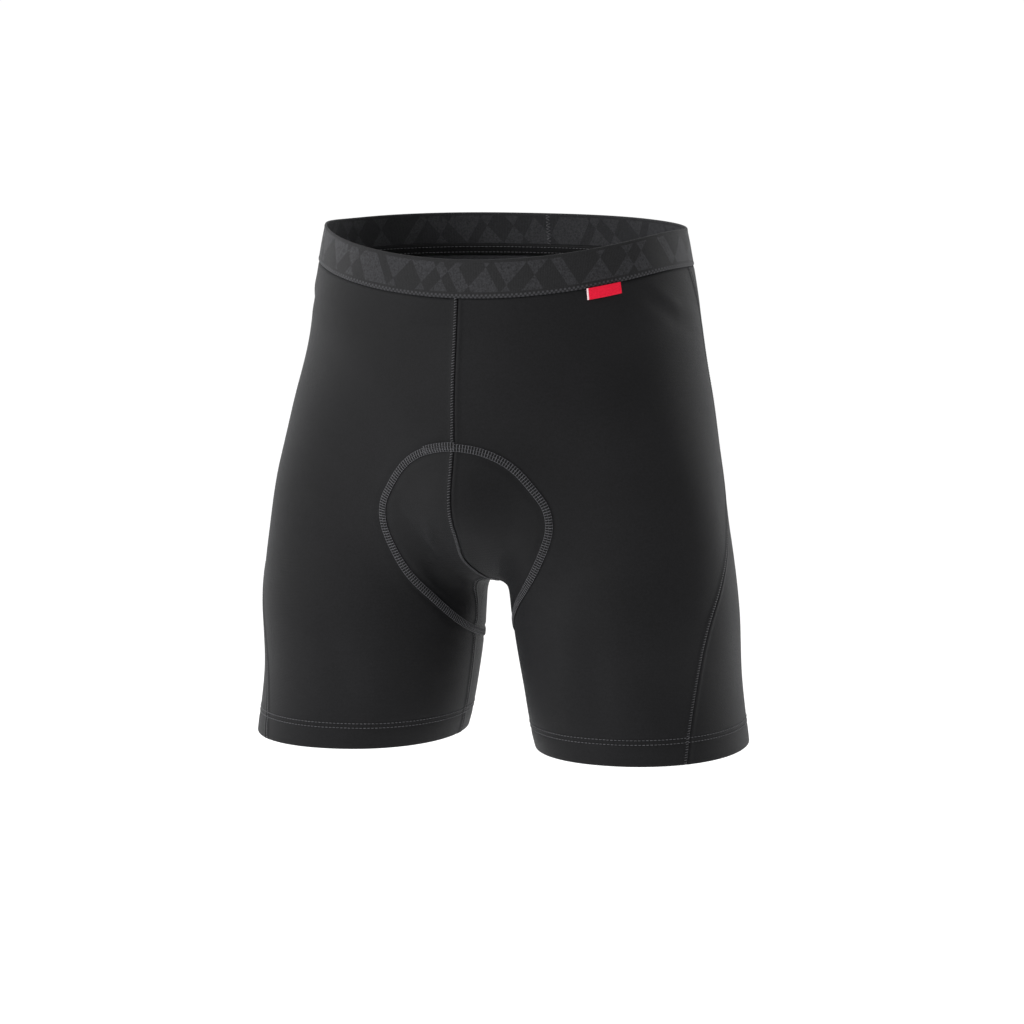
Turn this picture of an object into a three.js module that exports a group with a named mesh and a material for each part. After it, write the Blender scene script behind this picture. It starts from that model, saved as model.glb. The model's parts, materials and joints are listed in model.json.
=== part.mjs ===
// Men's cycling undershorts: an elastic waistband, four sewn panels, the pad inside and a side tab.
//
// Millimetres, +Z up. The front faces -Y and the wearer's left side is at +X. The origin is the
// middle of the waistband's ring, where the wearer's waist holds the garment up.
//
// The cloth follows one smooth form: a torso tube and two leg tubes, each given by a short table
// of sections and blended where they meet. Every piece is a wall between that form and a copy of
// it moved inwards, so neighbours meet exactly at their seams.

import * as THREE from "three";

// ---- Driving dimensions ---------------------------------------------------------------------

const SEAM_GAP = 0.3;
const CLOTH_WALL = 1.2;
const HEM_WALL = 2.2;
const HEM_TURN = 22;
const HEM_Z = -415;

const BAND_WALL = 1.8;
const BAND_HALF_HEIGHT = 16;
const WAIST_STEP = 5;
const WAIST_SADDLE = 20;
const WAIST_BACK_FROM = 60;
const WAIST_HALF_WIDTH = 160;
const WAIST_HALF_DEPTH = 115;

const byKey = (key, rows) => rows.sort((a, b) => a[key] - b[key]);

// Torso sections: half width, and the distance of its front and its back from the middle.
const TORSO = byKey("z", [
  { z: 40, halfWidth: 146, front: 108, back: 116 },
  { z: 0, halfWidth: 157, front: 114, back: 122 },
  { z: -60, halfWidth: 167, front: 120, back: 129 },
  { z: -120, halfWidth: 167, front: 126, back: 134 },
  { z: -180, halfWidth: 161, front: 117, back: 138 },
  { z: -240, halfWidth: 163, front: 110, back: 137 },
  { z: -300, halfWidth: 170, front: 106, back: 134 },
]);
const TORSO_SQUARENESS = 2.15;
const TORSO_DOME = { top: -170, bottom: -280, squareness: 2.3 };

// Leg sections, for the wearer's left leg: its middle, half width, and depth in front and behind.
const LEG = byKey("z", [
  { z: -60, x: 91, y: 8, halfWidth: 40, front: 40, back: 40 },
  { z: -120, x: 105, y: -10, halfWidth: 63, front: 69, back: 76 },
  { z: -180, x: 109, y: -22, halfWidth: 81, front: 73, back: 94 },
  { z: -240, x: 108, y: -24, halfWidth: 93, front: 75, back: 106 },
  { z: -300, x: 112.5, y: -22, halfWidth: 94.5, front: 88, back: 112 },
  { z: -360, x: 117, y: -15, halfWidth: 91, front: 95, back: 103 },
  { z: -420, x: 127, y: -15, halfWidth: 88, front: 97, back: 97 },
  { z: -460, x: 140, y: -15, halfWidth: 78, front: 96, back: 96 },
]);
const LEG_SQUARENESS = 2.1;

// How softly the tubes run into each other: tightly between the legs, broadly on hips and seat.
const BLEND = { tight: 14, broad: 46, tightZ: -275, broadZ: -190, tightX: 12, broadX: 60 };
const ARCH = { reach: 45, tightZ: -330, broadZ: -270 };

// The front bulges forward over the pad.
const POUCH = { depth: 26, z: -208, halfHeight: 48, halfWidth: 54, fadeFrom: -20, fadeTo: 60 };

// The side seam's direction from the middle of the leg, in degrees from the front.
const SIDE_SEAM = byKey("z", [
  { z: 0, angle: 86 },
  { z: -60, angle: 106 },
  { z: -120, angle: 118 },
  { z: -180, angle: 118 },
  { z: -240, angle: 96 },
  { z: -300, angle: 66 },
  { z: -360, angle: 51 },
  { z: -420, angle: 39 },
]);

// The four panels meet in front of the lowest point of the crotch.
const CROTCH_Y = -44;
const INSEAM = { angle: -88, settlesOver: 60 };

// Rows and columns of the panels' grids.
const HIP_ROWS = 20;
const LEG_ROWS = 9;
const HIP_CLOSING = 2;
const LEG_CLOSING = 2.5;
const HEM_STEP = 1.5;
const PANEL_COLUMNS = 19;
const ARC_STEPS = 90;
const BAND_COLUMNS = 72;
const BAND_ROWS = 3;
const WAIST_FADE_Z = -120;

// The pad lies along the middle seam. Its outline is given by the distance along that seam from
// the crotch, forwards below zero, and its half width there; foam is its height in the middle.
const PAD = { front: -175, rear: 215, clearance: 1.9, edge: 2, tip: 8, rows: 36, columns: 20 };
const PAD_OUTLINE = byKey("along", [
  { along: -175, halfWidth: 81, foam: 4 },
  { along: -110, halfWidth: 81, foam: 6 },
  { along: -85, halfWidth: 80, foam: 6.5 },
  { along: -55, halfWidth: 64, foam: 7 },
  { along: -20, halfWidth: 53, foam: 8 },
  { along: 25, halfWidth: 58, foam: 9 },
  { along: 90, halfWidth: 84, foam: 10 },
  { along: 150, halfWidth: 96, foam: 10 },
  { along: 215, halfWidth: 96, foam: 8 },
]);
const PAD_CAP = { front: 65, rear: 80 };
const PAD_LOBES = { from: 20, to: 80, across: 0.46, spread: 0.26, base: 0.6, crown: 0.5 };
const PAD_CHANNEL = { spread: 0.13, depth: 0.5 };
const PAD_ROW_CROWDING = 0.6;

// The folded tab hangs from the waistband's lower edge on the wearer's left front.
const TAB = { angle: 54, width: 27, height: 9, thickness: 1, clearance: 0.5, flare: 0.8, columns: 8, rows: 4 };

// ---- Small maths ----------------------------------------------------------------------------

const clamp = (value, low, high) => Math.min(Math.max(value, low), high);
const mix = (a, b, t) => a + (b - a) * t;

function smoothStep(value, from, to) {
  const t = clamp((value - from) / (to - from), 0, 1);
  return t * t * (3 - 2 * t);
}

/** The lower of two distances, with a soft corner of the given reach. */
function softMin(a, b, reach) {
  const overlap = Math.max(reach - Math.abs(a - b), 0) / reach;
  return Math.min(a, b) - (overlap * overlap * reach) / 4;
}

/** Distance of (x, y) from the origin, where 1 is the rim of a rounded square. */
const roundedNorm = (x, y, squareness) =>
  (Math.abs(x) ** squareness + Math.abs(y) ** squareness) ** (1 / squareness);

/** Values of a table's columns at `at`: cubic pieces, whose slope at a row comes from its neighbours. */
function tableAt(rows, key, at) {
  const place = clamp(at, rows[0][key], rows.at(-1)[key]);
  let i = 0;
  while (i < rows.length - 2 && rows[i + 1][key] < place) i += 1;
  const span = rows[i + 1][key] - rows[i][key];
  const t = (place - rows[i][key]) / span;
  const slope = (k, column) => {
    const before = rows[Math.max(k - 1, 0)];
    const after = rows[Math.min(k + 1, rows.length - 1)];
    return (after[column] - before[column]) / (after[key] - before[key]);
  };
  const values = {};
  for (const column of Object.keys(rows[0])) {
    values[column] =
      (2 * t ** 3 - 3 * t ** 2 + 1) * rows[i][column] +
      (t ** 3 - 2 * t ** 2 + t) * span * slope(i, column) +
      (3 * t ** 2 - 2 * t ** 3) * rows[i + 1][column] +
      (t ** 3 - t ** 2) * span * slope(i + 1, column);
  }
  return values;
}

// ---- The form -------------------------------------------------------------------------------

/** Signed distance, about, from the garment's outer surface: below zero inside. */
function formDistance({ x, y: straightY, z }) {
  const push = Math.exp(-(((z - POUCH.z) / POUCH.halfHeight) ** 2) - (x / POUCH.halfWidth) ** 2);
  const y = straightY + POUCH.depth * push * smoothStep(-straightY, POUCH.fadeFrom, POUCH.fadeTo);

  const torso = tableAt(TORSO, "z", z);
  const middleY = (torso.back - torso.front) / 2;
  const halfDepth = (torso.back + torso.front) / 2;
  const ring = roundedNorm(x / torso.halfWidth, (y - middleY) / halfDepth, TORSO_SQUARENESS);
  const below = Math.max(0, TORSO_DOME.top - z);
  const dome = below / (TORSO_DOME.top - TORSO_DOME.bottom);
  const torsoNorm = Math.max(roundedNorm(ring, dome, TORSO_DOME.squareness), 1e-6);
  const torsoDistance = Math.hypot(x, y - middleY, below) * (1 - 1 / torsoNorm);

  const leg = tableAt(LEG, "z", z);
  const [leftLeg, rightLeg] = [1, -1].map((side) => {
    const across = side * x - leg.x;
    const depth = y < leg.y ? leg.front : leg.back;
    const norm = roundedNorm(across / leg.halfWidth, (y - leg.y) / depth, LEG_SQUARENESS);
    return Math.hypot(across, y - leg.y) * (1 - 1 / Math.max(norm, 1e-6));
  });
  const high = smoothStep(z, BLEND.tightZ, BLEND.broadZ);
  const wide = smoothStep(Math.abs(x), BLEND.tightX, BLEND.broadX);
  const reach = mix(BLEND.tight, BLEND.broad, Math.max(high, wide));
  const arch = mix(BLEND.tight, ARCH.reach, smoothStep(z, ARCH.tightZ, ARCH.broadZ));
  return softMin(softMin(leftLeg, rightLeg, arch), torsoDistance, reach);
}

/** Unit normal of the form at a point, from differences of the distance. */
function formNormal(point) {
  const step = 0.5;
  const slope = (axis) => {
    const ahead = point.clone();
    const behind = point.clone();
    ahead[axis] += step;
    behind[axis] -= step;
    return formDistance(ahead) - formDistance(behind);
  };
  return new THREE.Vector3(slope("x"), slope("y"), slope("z")).normalize();
}

/** Where a ray from a point inside the form first meets its surface. */
function castOut(origin, direction) {
  const pointAt = (distance) => origin.clone().addScaledVector(direction, distance);
  const stride = 4;
  const halvings = 22;
  let outside = stride;
  while (formDistance(pointAt(outside)) < 0) outside += stride;
  let inside = outside - stride;
  for (let halving = 0; halving < halvings; halving += 1) {
    const middle = (inside + outside) / 2;
    if (formDistance(pointAt(middle)) < 0) inside = middle;
    else outside = middle;
  }
  return pointAt((inside + outside) / 2);
}

/** A direction from the front (0) towards the wearer's left, in a plane that slopes from front to back. */
const heading = (angle, slope = 0) => new THREE.Vector3(Math.sin(angle), -Math.cos(angle), -slope * Math.cos(angle));
const headingOf = (from, to) => Math.atan2(to.x - from.x, from.y - to.y);

/** How far the waist's edges rise above level: up at the back, and dipping at the middle front. */
function waistRise({ x, y }) {
  const back = smoothStep(y, -WAIST_BACK_FROM, WAIST_BACK_FROM);
  const dip = (x / WAIST_HALF_WIDTH) ** 2 - 0.5;
  return WAIST_STEP * (back - 0.5) + WAIST_SADDLE * (1 - back) * dip;
}

/** Where a ray meets the surface, once its start is lifted by a share of the waist's rise. */
function castLifted(start, direction, share) {
  const level = castOut(start, direction);
  if (share === 0) return level;
  const lifted = start.clone();
  lifted.z += share * waistRise(level);
  return castOut(lifted, direction);
}

/** Where the four panels meet, and the slope of the middle seam there. */
const CROTCH = castOut(new THREE.Vector3(0, CROTCH_Y, TORSO_DOME.top), new THREE.Vector3(0, 0, -1));
const crotchNormal = formNormal(CROTCH);
const CROTCH_SLOPE = -crotchNormal.y / crotchNormal.z;

const PANEL_TOP = -BAND_HALF_HEIGHT - SEAM_GAP;
const HEM_TOP = HEM_Z + HEM_TURN;
const LEG_FOOT = HEM_TOP + HEM_STEP;

// ---- Lines of points ------------------------------------------------------------------------

/** Points spaced evenly along a line of points, from one distance along it to another. */
function resample(line, from, to, count) {
  const lengths = [0];
  for (let i = 1; i < line.length; i += 1) lengths.push(lengths[i - 1] + line[i].distanceTo(line[i - 1]));
  const points = [];
  let i = 0;
  for (let k = 0; k <= count; k += 1) {
    const at = mix(from, lengths.at(-1) + to, k / count);
    while (i < line.length - 2 && lengths[i + 1] < at) i += 1;
    const t = (at - lengths[i]) / (lengths[i + 1] - lengths[i]);
    points.push(line[i].clone().lerp(line[i + 1], t));
  }
  return points;
}

/** A row's slope: that of the middle seam at the crotch, and level at the waist and the hem. */
function rowSlope(z) {
  const end = z > CROTCH.z ? PANEL_TOP : LEG_FOOT;
  return CROTCH_SLOPE * clamp(1 - (z - CROTCH.z) / (end - CROTCH.z), 0, 1);
}

/**
 * One row of the wearer's left side, cast out from the middle of the leg: on the hip from the
 * middle front round the outside to the middle back, and below the crotch all round the leg.
 */
function sideRow(z) {
  const slope = rowSlope(z);
  const lift = smoothStep(z, WAIST_FADE_Z, -BAND_HALF_HEIGHT);
  const leg = tableAt(LEG, "z", z);
  const onRow = (x, y) => new THREE.Vector3(x, y, z + slope * (y - CROTCH.y));
  const axis = onRow(leg.x, leg.y);
  const cast = (angle) => castLifted(axis, heading(angle, slope), lift);

  let ends = null;
  if (z === CROTCH.z) {
    ends = [-1, 1].map((way) => CROTCH.clone().add(new THREE.Vector3(0, (way * SEAM_GAP) / 2, 0)));
  }
  if (z > CROTCH.z) {
    const middle = onRow(0, CROTCH.y);
    ends = [0, Math.PI].map((angle) => castLifted(middle, heading(angle, slope), lift));
  }
  const settled = smoothStep(CROTCH.z - z, 0, INSEAM.settlesOver);
  const inseam = mix(headingOf(axis, CROTCH), THREE.MathUtils.degToRad(INSEAM.angle), settled);
  const first = ends ? headingOf(axis, ends[0]) : inseam;
  const last = (ends ? headingOf(axis, ends[1]) : inseam) + 2 * Math.PI;

  const seamAt = (height) => THREE.MathUtils.degToRad(tableAt(SIDE_SEAM, "z", height).angle);
  const seam = seamAt(cast(seamAt(z)).z);

  const arc = (from, to) =>
    Array.from({ length: ARC_STEPS + 1 }, (_, k) => cast(mix(from, to, k / ARC_STEPS)));
  const front = arc(first, seam);
  const back = arc(seam, last);
  if (ends) {
    front[0] = ends[0];
    back[ARC_STEPS] = ends[1];
  }
  return { front, back };
}

/** Heights of a panel's rows, closer together towards the crotch on both sides of it. */
function rowHeights() {
  const heights = [];
  for (let k = HIP_ROWS; k > 0; k -= 1) {
    heights.push(mix(CROTCH.z, PANEL_TOP, (k / HIP_ROWS) ** HIP_CLOSING));
  }
  heights.push(CROTCH.z);
  for (let k = 1; k <= LEG_ROWS; k += 1) {
    heights.push(mix(CROTCH.z, LEG_FOOT, (k / LEG_ROWS) ** LEG_CLOSING));
  }
  heights.push(HEM_TOP, HEM_Z);
  return heights;
}

// ---- Walls ----------------------------------------------------------------------------------

/** Points moved inwards along the form's normals; the depth may change from row to row. */
const movedIn = (grid, depthOf) =>
  grid.map((row, r) =>
    row.map((point, c) => point.clone().addScaledVector(formNormal(point), -depthOf(r, c))));

const mirrored = (grid) => grid.map((row) => row.map(({ x, y, z }) => new THREE.Vector3(-x, y, z)));

/** A closed wall between two grids of points; a ring's last column joins its first. */
function wallGeometry(outer, inner, isRing = false) {
  const rows = outer.length;
  const columns = outer[0].length;
  const points = [...outer.flat(), ...inner.flat()];
  const outerAt = (r, c) => r * columns + (c % columns);
  const innerAt = (r, c) => rows * columns + outerAt(r, c);
  const triangles = [];
  const quad = (a, b, c, d) => triangles.push(a, b, c, a, c, d);
  const lastColumn = isRing ? columns : columns - 1;
  for (let r = 0; r < rows - 1; r += 1) {
    for (let c = 0; c < lastColumn; c += 1) {
      quad(outerAt(r, c), outerAt(r + 1, c), outerAt(r + 1, c + 1), outerAt(r, c + 1));
      quad(innerAt(r, c), innerAt(r, c + 1), innerAt(r + 1, c + 1), innerAt(r + 1, c));
    }
    if (!isRing) {
      quad(outerAt(r, 0), innerAt(r, 0), innerAt(r + 1, 0), outerAt(r + 1, 0));
      quad(outerAt(r, columns - 1), outerAt(r + 1, columns - 1), innerAt(r + 1, columns - 1), innerAt(r, columns - 1));
    }
  }
  for (let c = 0; c < lastColumn; c += 1) {
    quad(outerAt(0, c), outerAt(0, c + 1), innerAt(0, c + 1), innerAt(0, c));
    quad(outerAt(rows - 1, c), innerAt(rows - 1, c), innerAt(rows - 1, c + 1), outerAt(rows - 1, c + 1));
  }
  let volume = 0;
  for (let t = 0; t < triangles.length; t += 3) {
    const [a, b, c] = [0, 1, 2].map((k) => points[triangles[t + k]]);
    volume += a.dot(new THREE.Vector3().crossVectors(b, c));
  }
  if (volume < 0) triangles.reverse();
  const geometry = new THREE.BufferGeometry().setFromPoints(points);
  geometry.setIndex(triangles);
  geometry.computeVertexNormals();
  return geometry;
}

// ---- Materials ------------------------------------------------------------------------------

const finish = (color, roughness) => new THREE.MeshStandardMaterial({ color, roughness, metalness: 0 });
const makeJersey = () => finish("#262628", 0.75);
const makeElastic = () => finish("#3a3a3c", 0.7);
const makeFoam = () => finish("#57a52f", 0.8);
const makeTape = () => finish("#e0233c", 0.6);

function piece(name, geometry, material) {
  const mesh = new THREE.Mesh(geometry, material);
  mesh.name = name;
  return mesh;
}

// ---- Pieces ---------------------------------------------------------------------------------

/** Front and back panels of both sides, each with its turned hem. */
function makePanels() {
  const heights = rowHeights();
  const rows = heights.map(sideRow);
  const trim = SEAM_GAP / 2;
  const depthOf = (r) => (heights[r] <= HEM_TOP ? HEM_WALL : CLOTH_WALL);
  const panels = [];
  for (const part of ["front", "back"]) {
    const outer = rows.map((row) => resample(row[part], trim, -trim, PANEL_COLUMNS));
    const inner = movedIn(outer, depthOf);
    panels.push(piece(`${part}_left`, wallGeometry(outer, inner), makeJersey()));
    panels.push(piece(`${part}_right`, wallGeometry(mirrored(outer), mirrored(inner)), makeJersey()));
  }
  return panels;
}

/** The elastic ring at the top. */
function makeWaistband() {
  const outer = [];
  for (let r = 0; r <= BAND_ROWS; r += 1) {
    const axis = new THREE.Vector3(0, 0, mix(BAND_HALF_HEIGHT, -BAND_HALF_HEIGHT, r / BAND_ROWS));
    const row = [];
    for (let c = 0; c < BAND_COLUMNS; c += 1) {
      row.push(castLifted(axis, heading((2 * Math.PI * c) / BAND_COLUMNS), 1));
    }
    outer.push(row);
  }
  return piece("waistband", wallGeometry(outer, movedIn(outer, () => BAND_WALL), true), makeElastic());
}

/** The surface's middle line from the front, under the crotch, up to the back; 0 is at the crotch. */
function middleLine() {
  const centre = new THREE.Vector3(0, 0, TORSO_DOME.top);
  const steps = 240;
  const reach = THREE.MathUtils.degToRad(118);
  const line = [];
  for (let k = 0; k <= steps; k += 1) {
    const tilt = mix(-reach, reach, k / steps);
    line.push(castOut(centre, new THREE.Vector3(0, Math.sin(tilt), -Math.cos(tilt))));
  }
  const lengths = [0];
  for (let k = 1; k <= steps; k += 1) lengths.push(lengths[k - 1] + line[k].distanceTo(line[k - 1]));
  const gaps = line.map((point) => point.distanceTo(CROTCH));
  const crotchAt = lengths[gaps.indexOf(Math.min(...gaps))];
  return (along) => {
    const at = clamp(along + crotchAt, 0, lengths.at(-1));
    let i = 0;
    while (i < steps - 1 && lengths[i + 1] < at) i += 1;
    const point = line[i].clone().lerp(line[i + 1], (at - lengths[i]) / (lengths[i + 1] - lengths[i]));
    return { point, forwards: line[i + 1].clone().sub(line[i]).normalize() };
  };
}

/** Brings a point back onto the form along its normal. */
function settle(point) {
  for (let pass = 0; pass < 3; pass += 1) point.addScaledVector(formNormal(point), -formDistance(point));
  return point;
}

/** A row across the middle line, walked outwards on the surface to each side in small steps. */
function rowAcross(start, forwards, halfWidth, columns) {
  const walk = [start.clone()];
  const strides = 24;
  const outwards = new THREE.Vector3(1, 0, 0);
  for (let k = 0; k < strides; k += 1) {
    const point = walk.at(-1).clone();
    const ahead = new THREE.Vector3().crossVectors(forwards, formNormal(point)).normalize();
    outwards.copy(ahead.dot(outwards) < 0 ? ahead.negate() : ahead);
    walk.push(settle(point.addScaledVector(outwards, halfWidth / strides)));
  }
  const left = resample(walk, 0, 0, columns / 2);
  const right = left.slice(1).map(({ x, y, z }) => new THREE.Vector3(-x, y, z));
  return [...right.reverse(), ...left];
}

/** The moulded foam pad inside the crotch: thin at its rim, with two raised lobes at the seat. */
function makeSeatPad() {
  const middle = middleLine();
  const outer = [];
  const depths = [];
  for (let r = 0; r <= PAD.rows; r += 1) {
    const turn = (1 - Math.cos((Math.PI * (r + 0.5)) / (PAD.rows + 1))) / 2;
    const along = mix(PAD.front, PAD.rear, mix(r / PAD.rows, turn, PAD_ROW_CROWDING));
    const shape = tableAt(PAD_OUTLINE, "along", along);
    const intoFront = clamp((PAD.front + PAD_CAP.front - along) / PAD_CAP.front, 0, 1);
    const intoRear = clamp((along - PAD.rear + PAD_CAP.rear) / PAD_CAP.rear, 0, 1);
    const cap = Math.sqrt(Math.max(1 - Math.max(intoFront, intoRear) ** 2, 0));
    const halfWidth = Math.max(shape.halfWidth * cap, PAD.tip);
    const { point, forwards } = middle(along);
    outer.push(rowAcross(settle(point), forwards, halfWidth, PAD.columns));

    const lobes = smoothStep(along, PAD_LOBES.from, PAD_LOBES.to);
    depths.push(outer.at(-1).map((_, c) => {
      const across = Math.abs((2 * c) / PAD.columns - 1);
      const crown = Math.sqrt(Math.max(1 - across ** 2, 0)) * cap;
      const lobe = Math.exp(-(((across - PAD_LOBES.across) / PAD_LOBES.spread) ** 2));
      const channel = 1 - PAD_CHANNEL.depth * Math.exp(-((across / PAD_CHANNEL.spread) ** 2));
      const height = mix(1, PAD_LOBES.base + PAD_LOBES.crown * lobe, lobes);
      return PAD.edge + (shape.foam - PAD.edge) * crown * channel * height;
    }));
  }
  const toCloth = CLOTH_WALL + PAD.clearance;
  const underside = movedIn(outer, () => toCloth);
  const body = movedIn(outer, (r, c) => toCloth + depths[r][c]);
  return piece("seat_pad", wallGeometry(underside, body), makeFoam());
}

/** The small folded tab in the waistband's lower seam. */
function makeTab() {
  const outer = [];
  const angle = THREE.MathUtils.degToRad(TAB.angle);
  const radius = Math.hypot(Math.sin(angle) * WAIST_HALF_WIDTH, Math.cos(angle) * WAIST_HALF_DEPTH);
  for (let r = 0; r <= TAB.rows; r += 1) {
    const z = -BAND_HALF_HEIGHT - SEAM_GAP - (TAB.height * r) / TAB.rows;
    const row = [];
    for (let c = 0; c <= TAB.columns; c += 1) {
      const turn = ((c / TAB.columns - 0.5) * TAB.width) / radius;
      row.push(castLifted(new THREE.Vector3(0, 0, z), heading(angle + turn), 1));
    }
    outer.push(row);
  }
  const lift = (r) => TAB.clearance + TAB.flare * (r / TAB.rows) ** 2;
  const under = movedIn(outer, (r) => -lift(r));
  const over = movedIn(outer, (r) => -lift(r) - TAB.thickness);
  return piece("label", wallGeometry(over, under), makeTape());
}

const shorts = new THREE.Group();
shorts.add(makeWaistband(), ...makePanels(), makeSeatPad(), makeTab());

export default shorts;
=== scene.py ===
"""Padded cycling undershorts: cloth, seams, pad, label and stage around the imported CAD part.

The tables below are in millimetres in the part's frame: the front faces -Y, the wearer's left
side is at +X, and the origin is the middle of the waistband's ring. Meshes are made in metres.
"""

import json
import math
from collections import namedtuple

import bpy
import numpy as np
from bpy.props import FloatProperty, FloatVectorProperty, IntProperty, PointerProperty
from bpy.types import Operator, Panel, PropertyGroup
from mathutils import Matrix, Vector

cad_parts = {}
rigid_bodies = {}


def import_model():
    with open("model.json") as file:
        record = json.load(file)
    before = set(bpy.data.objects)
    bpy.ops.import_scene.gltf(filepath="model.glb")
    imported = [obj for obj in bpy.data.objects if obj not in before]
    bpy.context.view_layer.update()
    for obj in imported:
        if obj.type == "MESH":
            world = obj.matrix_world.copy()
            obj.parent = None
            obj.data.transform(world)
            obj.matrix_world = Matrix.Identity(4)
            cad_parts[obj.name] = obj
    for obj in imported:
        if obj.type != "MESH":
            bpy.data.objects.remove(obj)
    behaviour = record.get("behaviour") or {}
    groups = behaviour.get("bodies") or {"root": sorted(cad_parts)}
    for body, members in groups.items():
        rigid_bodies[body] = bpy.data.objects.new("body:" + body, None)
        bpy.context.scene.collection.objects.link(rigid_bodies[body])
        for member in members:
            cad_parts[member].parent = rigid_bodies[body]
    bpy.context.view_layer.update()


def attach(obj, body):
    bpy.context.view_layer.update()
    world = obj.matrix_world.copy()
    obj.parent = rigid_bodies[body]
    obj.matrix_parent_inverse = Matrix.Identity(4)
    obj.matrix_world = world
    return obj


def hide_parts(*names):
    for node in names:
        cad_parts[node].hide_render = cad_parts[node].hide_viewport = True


bl_info = {
    "name": "Cycling undershorts",
    "version": (1, 0, 0),
    "blender": (4, 5, 0),
    "location": "3D View > Sidebar > Undershorts",
    "description": "Builds padded cycling undershorts around their CAD frame",
    "category": "Object",
}

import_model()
MM = 0.001

# ---- The form, as in the part's source ------------------------------------------------------

SEAM_GAP = 0.3
HEM_TURN = 22
HEM_Z = -415
HEM_TOP = HEM_Z + HEM_TURN
LEG_FOOT = HEM_TOP + 1.5
BAND_HALF_HEIGHT = 16
PANEL_TOP = -BAND_HALF_HEIGHT - SEAM_GAP
WAIST_STEP = 5
WAIST_SADDLE = 20
WAIST_BACK_FROM = 60
WAIST_HALF_WIDTH = 160
WAIST_FADE_Z = -120

TORSO = {
    "z": (-300, -240, -180, -120, -60, 0, 40),
    "half_width": (170, 163, 161, 167, 167, 157, 146),
    "front": (106, 110, 117, 126, 120, 114, 108),
    "back": (134, 137, 138, 134, 129, 122, 116),
}
TORSO_SQUARENESS = 2.15
DOME_TOP = -170
DOME_BOTTOM = -280
DOME_SQUARENESS = 2.3

LEG = {
    "z": (-460, -420, -360, -300, -240, -180, -120, -60),
    "x": (140, 127, 117, 112.5, 108, 109, 105, 91),
    "y": (-15, -15, -15, -22, -24, -22, -10, 8),
    "half_width": (78, 88, 91, 94.5, 93, 81, 63, 40),
    "front": (96, 97, 95, 88, 75, 73, 69, 40),
    "back": (96, 97, 103, 112, 106, 94, 76, 40),
}
LEG_SQUARENESS = 2.1

TIGHT = 14
BROAD = 46
BLEND_Z = (-275, -190)
BLEND_X = (12, 60)
ARCH_REACH = 45
ARCH_Z = (-330, -270)
POUCH_DEPTH = 26
POUCH_Z = -208
POUCH_HALF_HEIGHT = 48
POUCH_HALF_WIDTH = 54
POUCH_FADE = (-20, 60)

SIDE_SEAM = {
    "z": (-420, -360, -300, -240, -180, -120, -60, 0),
    "angle": (39, 51, 66, 96, 118, 118, 106, 86),
}
CROTCH_Y = -44
INSEAM_ANGLE = -88
INSEAM_SETTLES = 60

PAD_FRONT = -175
PAD_REAR = 215
PAD_CLEARANCE = 3.1
PAD_EDGE = 2
PAD_TIP = 8
PAD_OUTLINE = {
    "along": (-175, -110, -85, -55, -20, 25, 90, 150, 215),
    "half_width": (81, 81, 80, 64, 53, 58, 84, 96, 96),
    "foam": (4, 6, 6.5, 7, 8, 9, 10, 10, 8),
}
PAD_CAP_FRONT = 65
PAD_CAP_REAR = 80
LOBE_ALONG = (20, 80)
LOBE_ACROSS = 0.46
LOBE_SPREAD = 0.26
CHANNEL_SPREAD = 0.13

# How the form is searched: the reach of a difference, a ray's stride, the halvings that follow it,
# and the steps in which the pad's rows walk outwards.
NORMAL_STEP = 0.5
CAST_STRIDE = 4.0
CAST_HALVINGS = 16
WALK_STEPS = 24


def smooth_step(value, start, end):
    """0 before start and 1 past end: t * t * (3 - 2 t) between them."""
    t = np.clip((value - start) / (end - start), 0, 1)
    return t * t * (3 - 2 * t)


def mix(a, b, t):
    """a + (b - a) t."""
    return a + (b - a) * t


def bell(distance, width):
    """exp(-(distance / width)^2)."""
    return np.exp(-((distance / width) ** 2))


def soft_min(a, b, reach):
    """min(a, b) - h h reach / 4, with h = max(reach - |a - b|, 0) / reach."""
    overlap = np.maximum(reach - np.abs(a - b), 0) / reach
    return np.minimum(a, b) - overlap * overlap * reach / 4


def rounded_norm(x, y, squareness):
    """(|x|^n + |y|^n)^(1/n)."""
    return (np.abs(x) ** squareness + np.abs(y) ** squareness) ** (1 / squareness)


def table_at(table, at):
    """Columns of a table at each place: Hermite cubics, with slopes from each row's neighbours."""
    key, *columns = table
    keys = np.array(table[key], float)
    at = np.clip(at, keys[0], keys[-1])
    i = np.clip(np.searchsorted(keys, at) - 1, 0, len(keys) - 2)
    span = keys[i + 1] - keys[i]
    t = (at - keys[i]) / span
    before = np.maximum(np.arange(len(keys)) - 1, 0)
    after = np.minimum(np.arange(len(keys)) + 1, len(keys) - 1)
    found = {}
    for column in columns:
        value = np.array(table[column], float)
        slope = (value[after] - value[before]) / (keys[after] - keys[before])
        start = (2 * t**3 - 3 * t**2 + 1) * value[i] + (t**3 - 2 * t**2 + t) * span * slope[i]
        end = (3 * t**2 - 2 * t**3) * value[i + 1] + (t**3 - t**2) * span * slope[i + 1]
        found[column] = start + end
    return found


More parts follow.
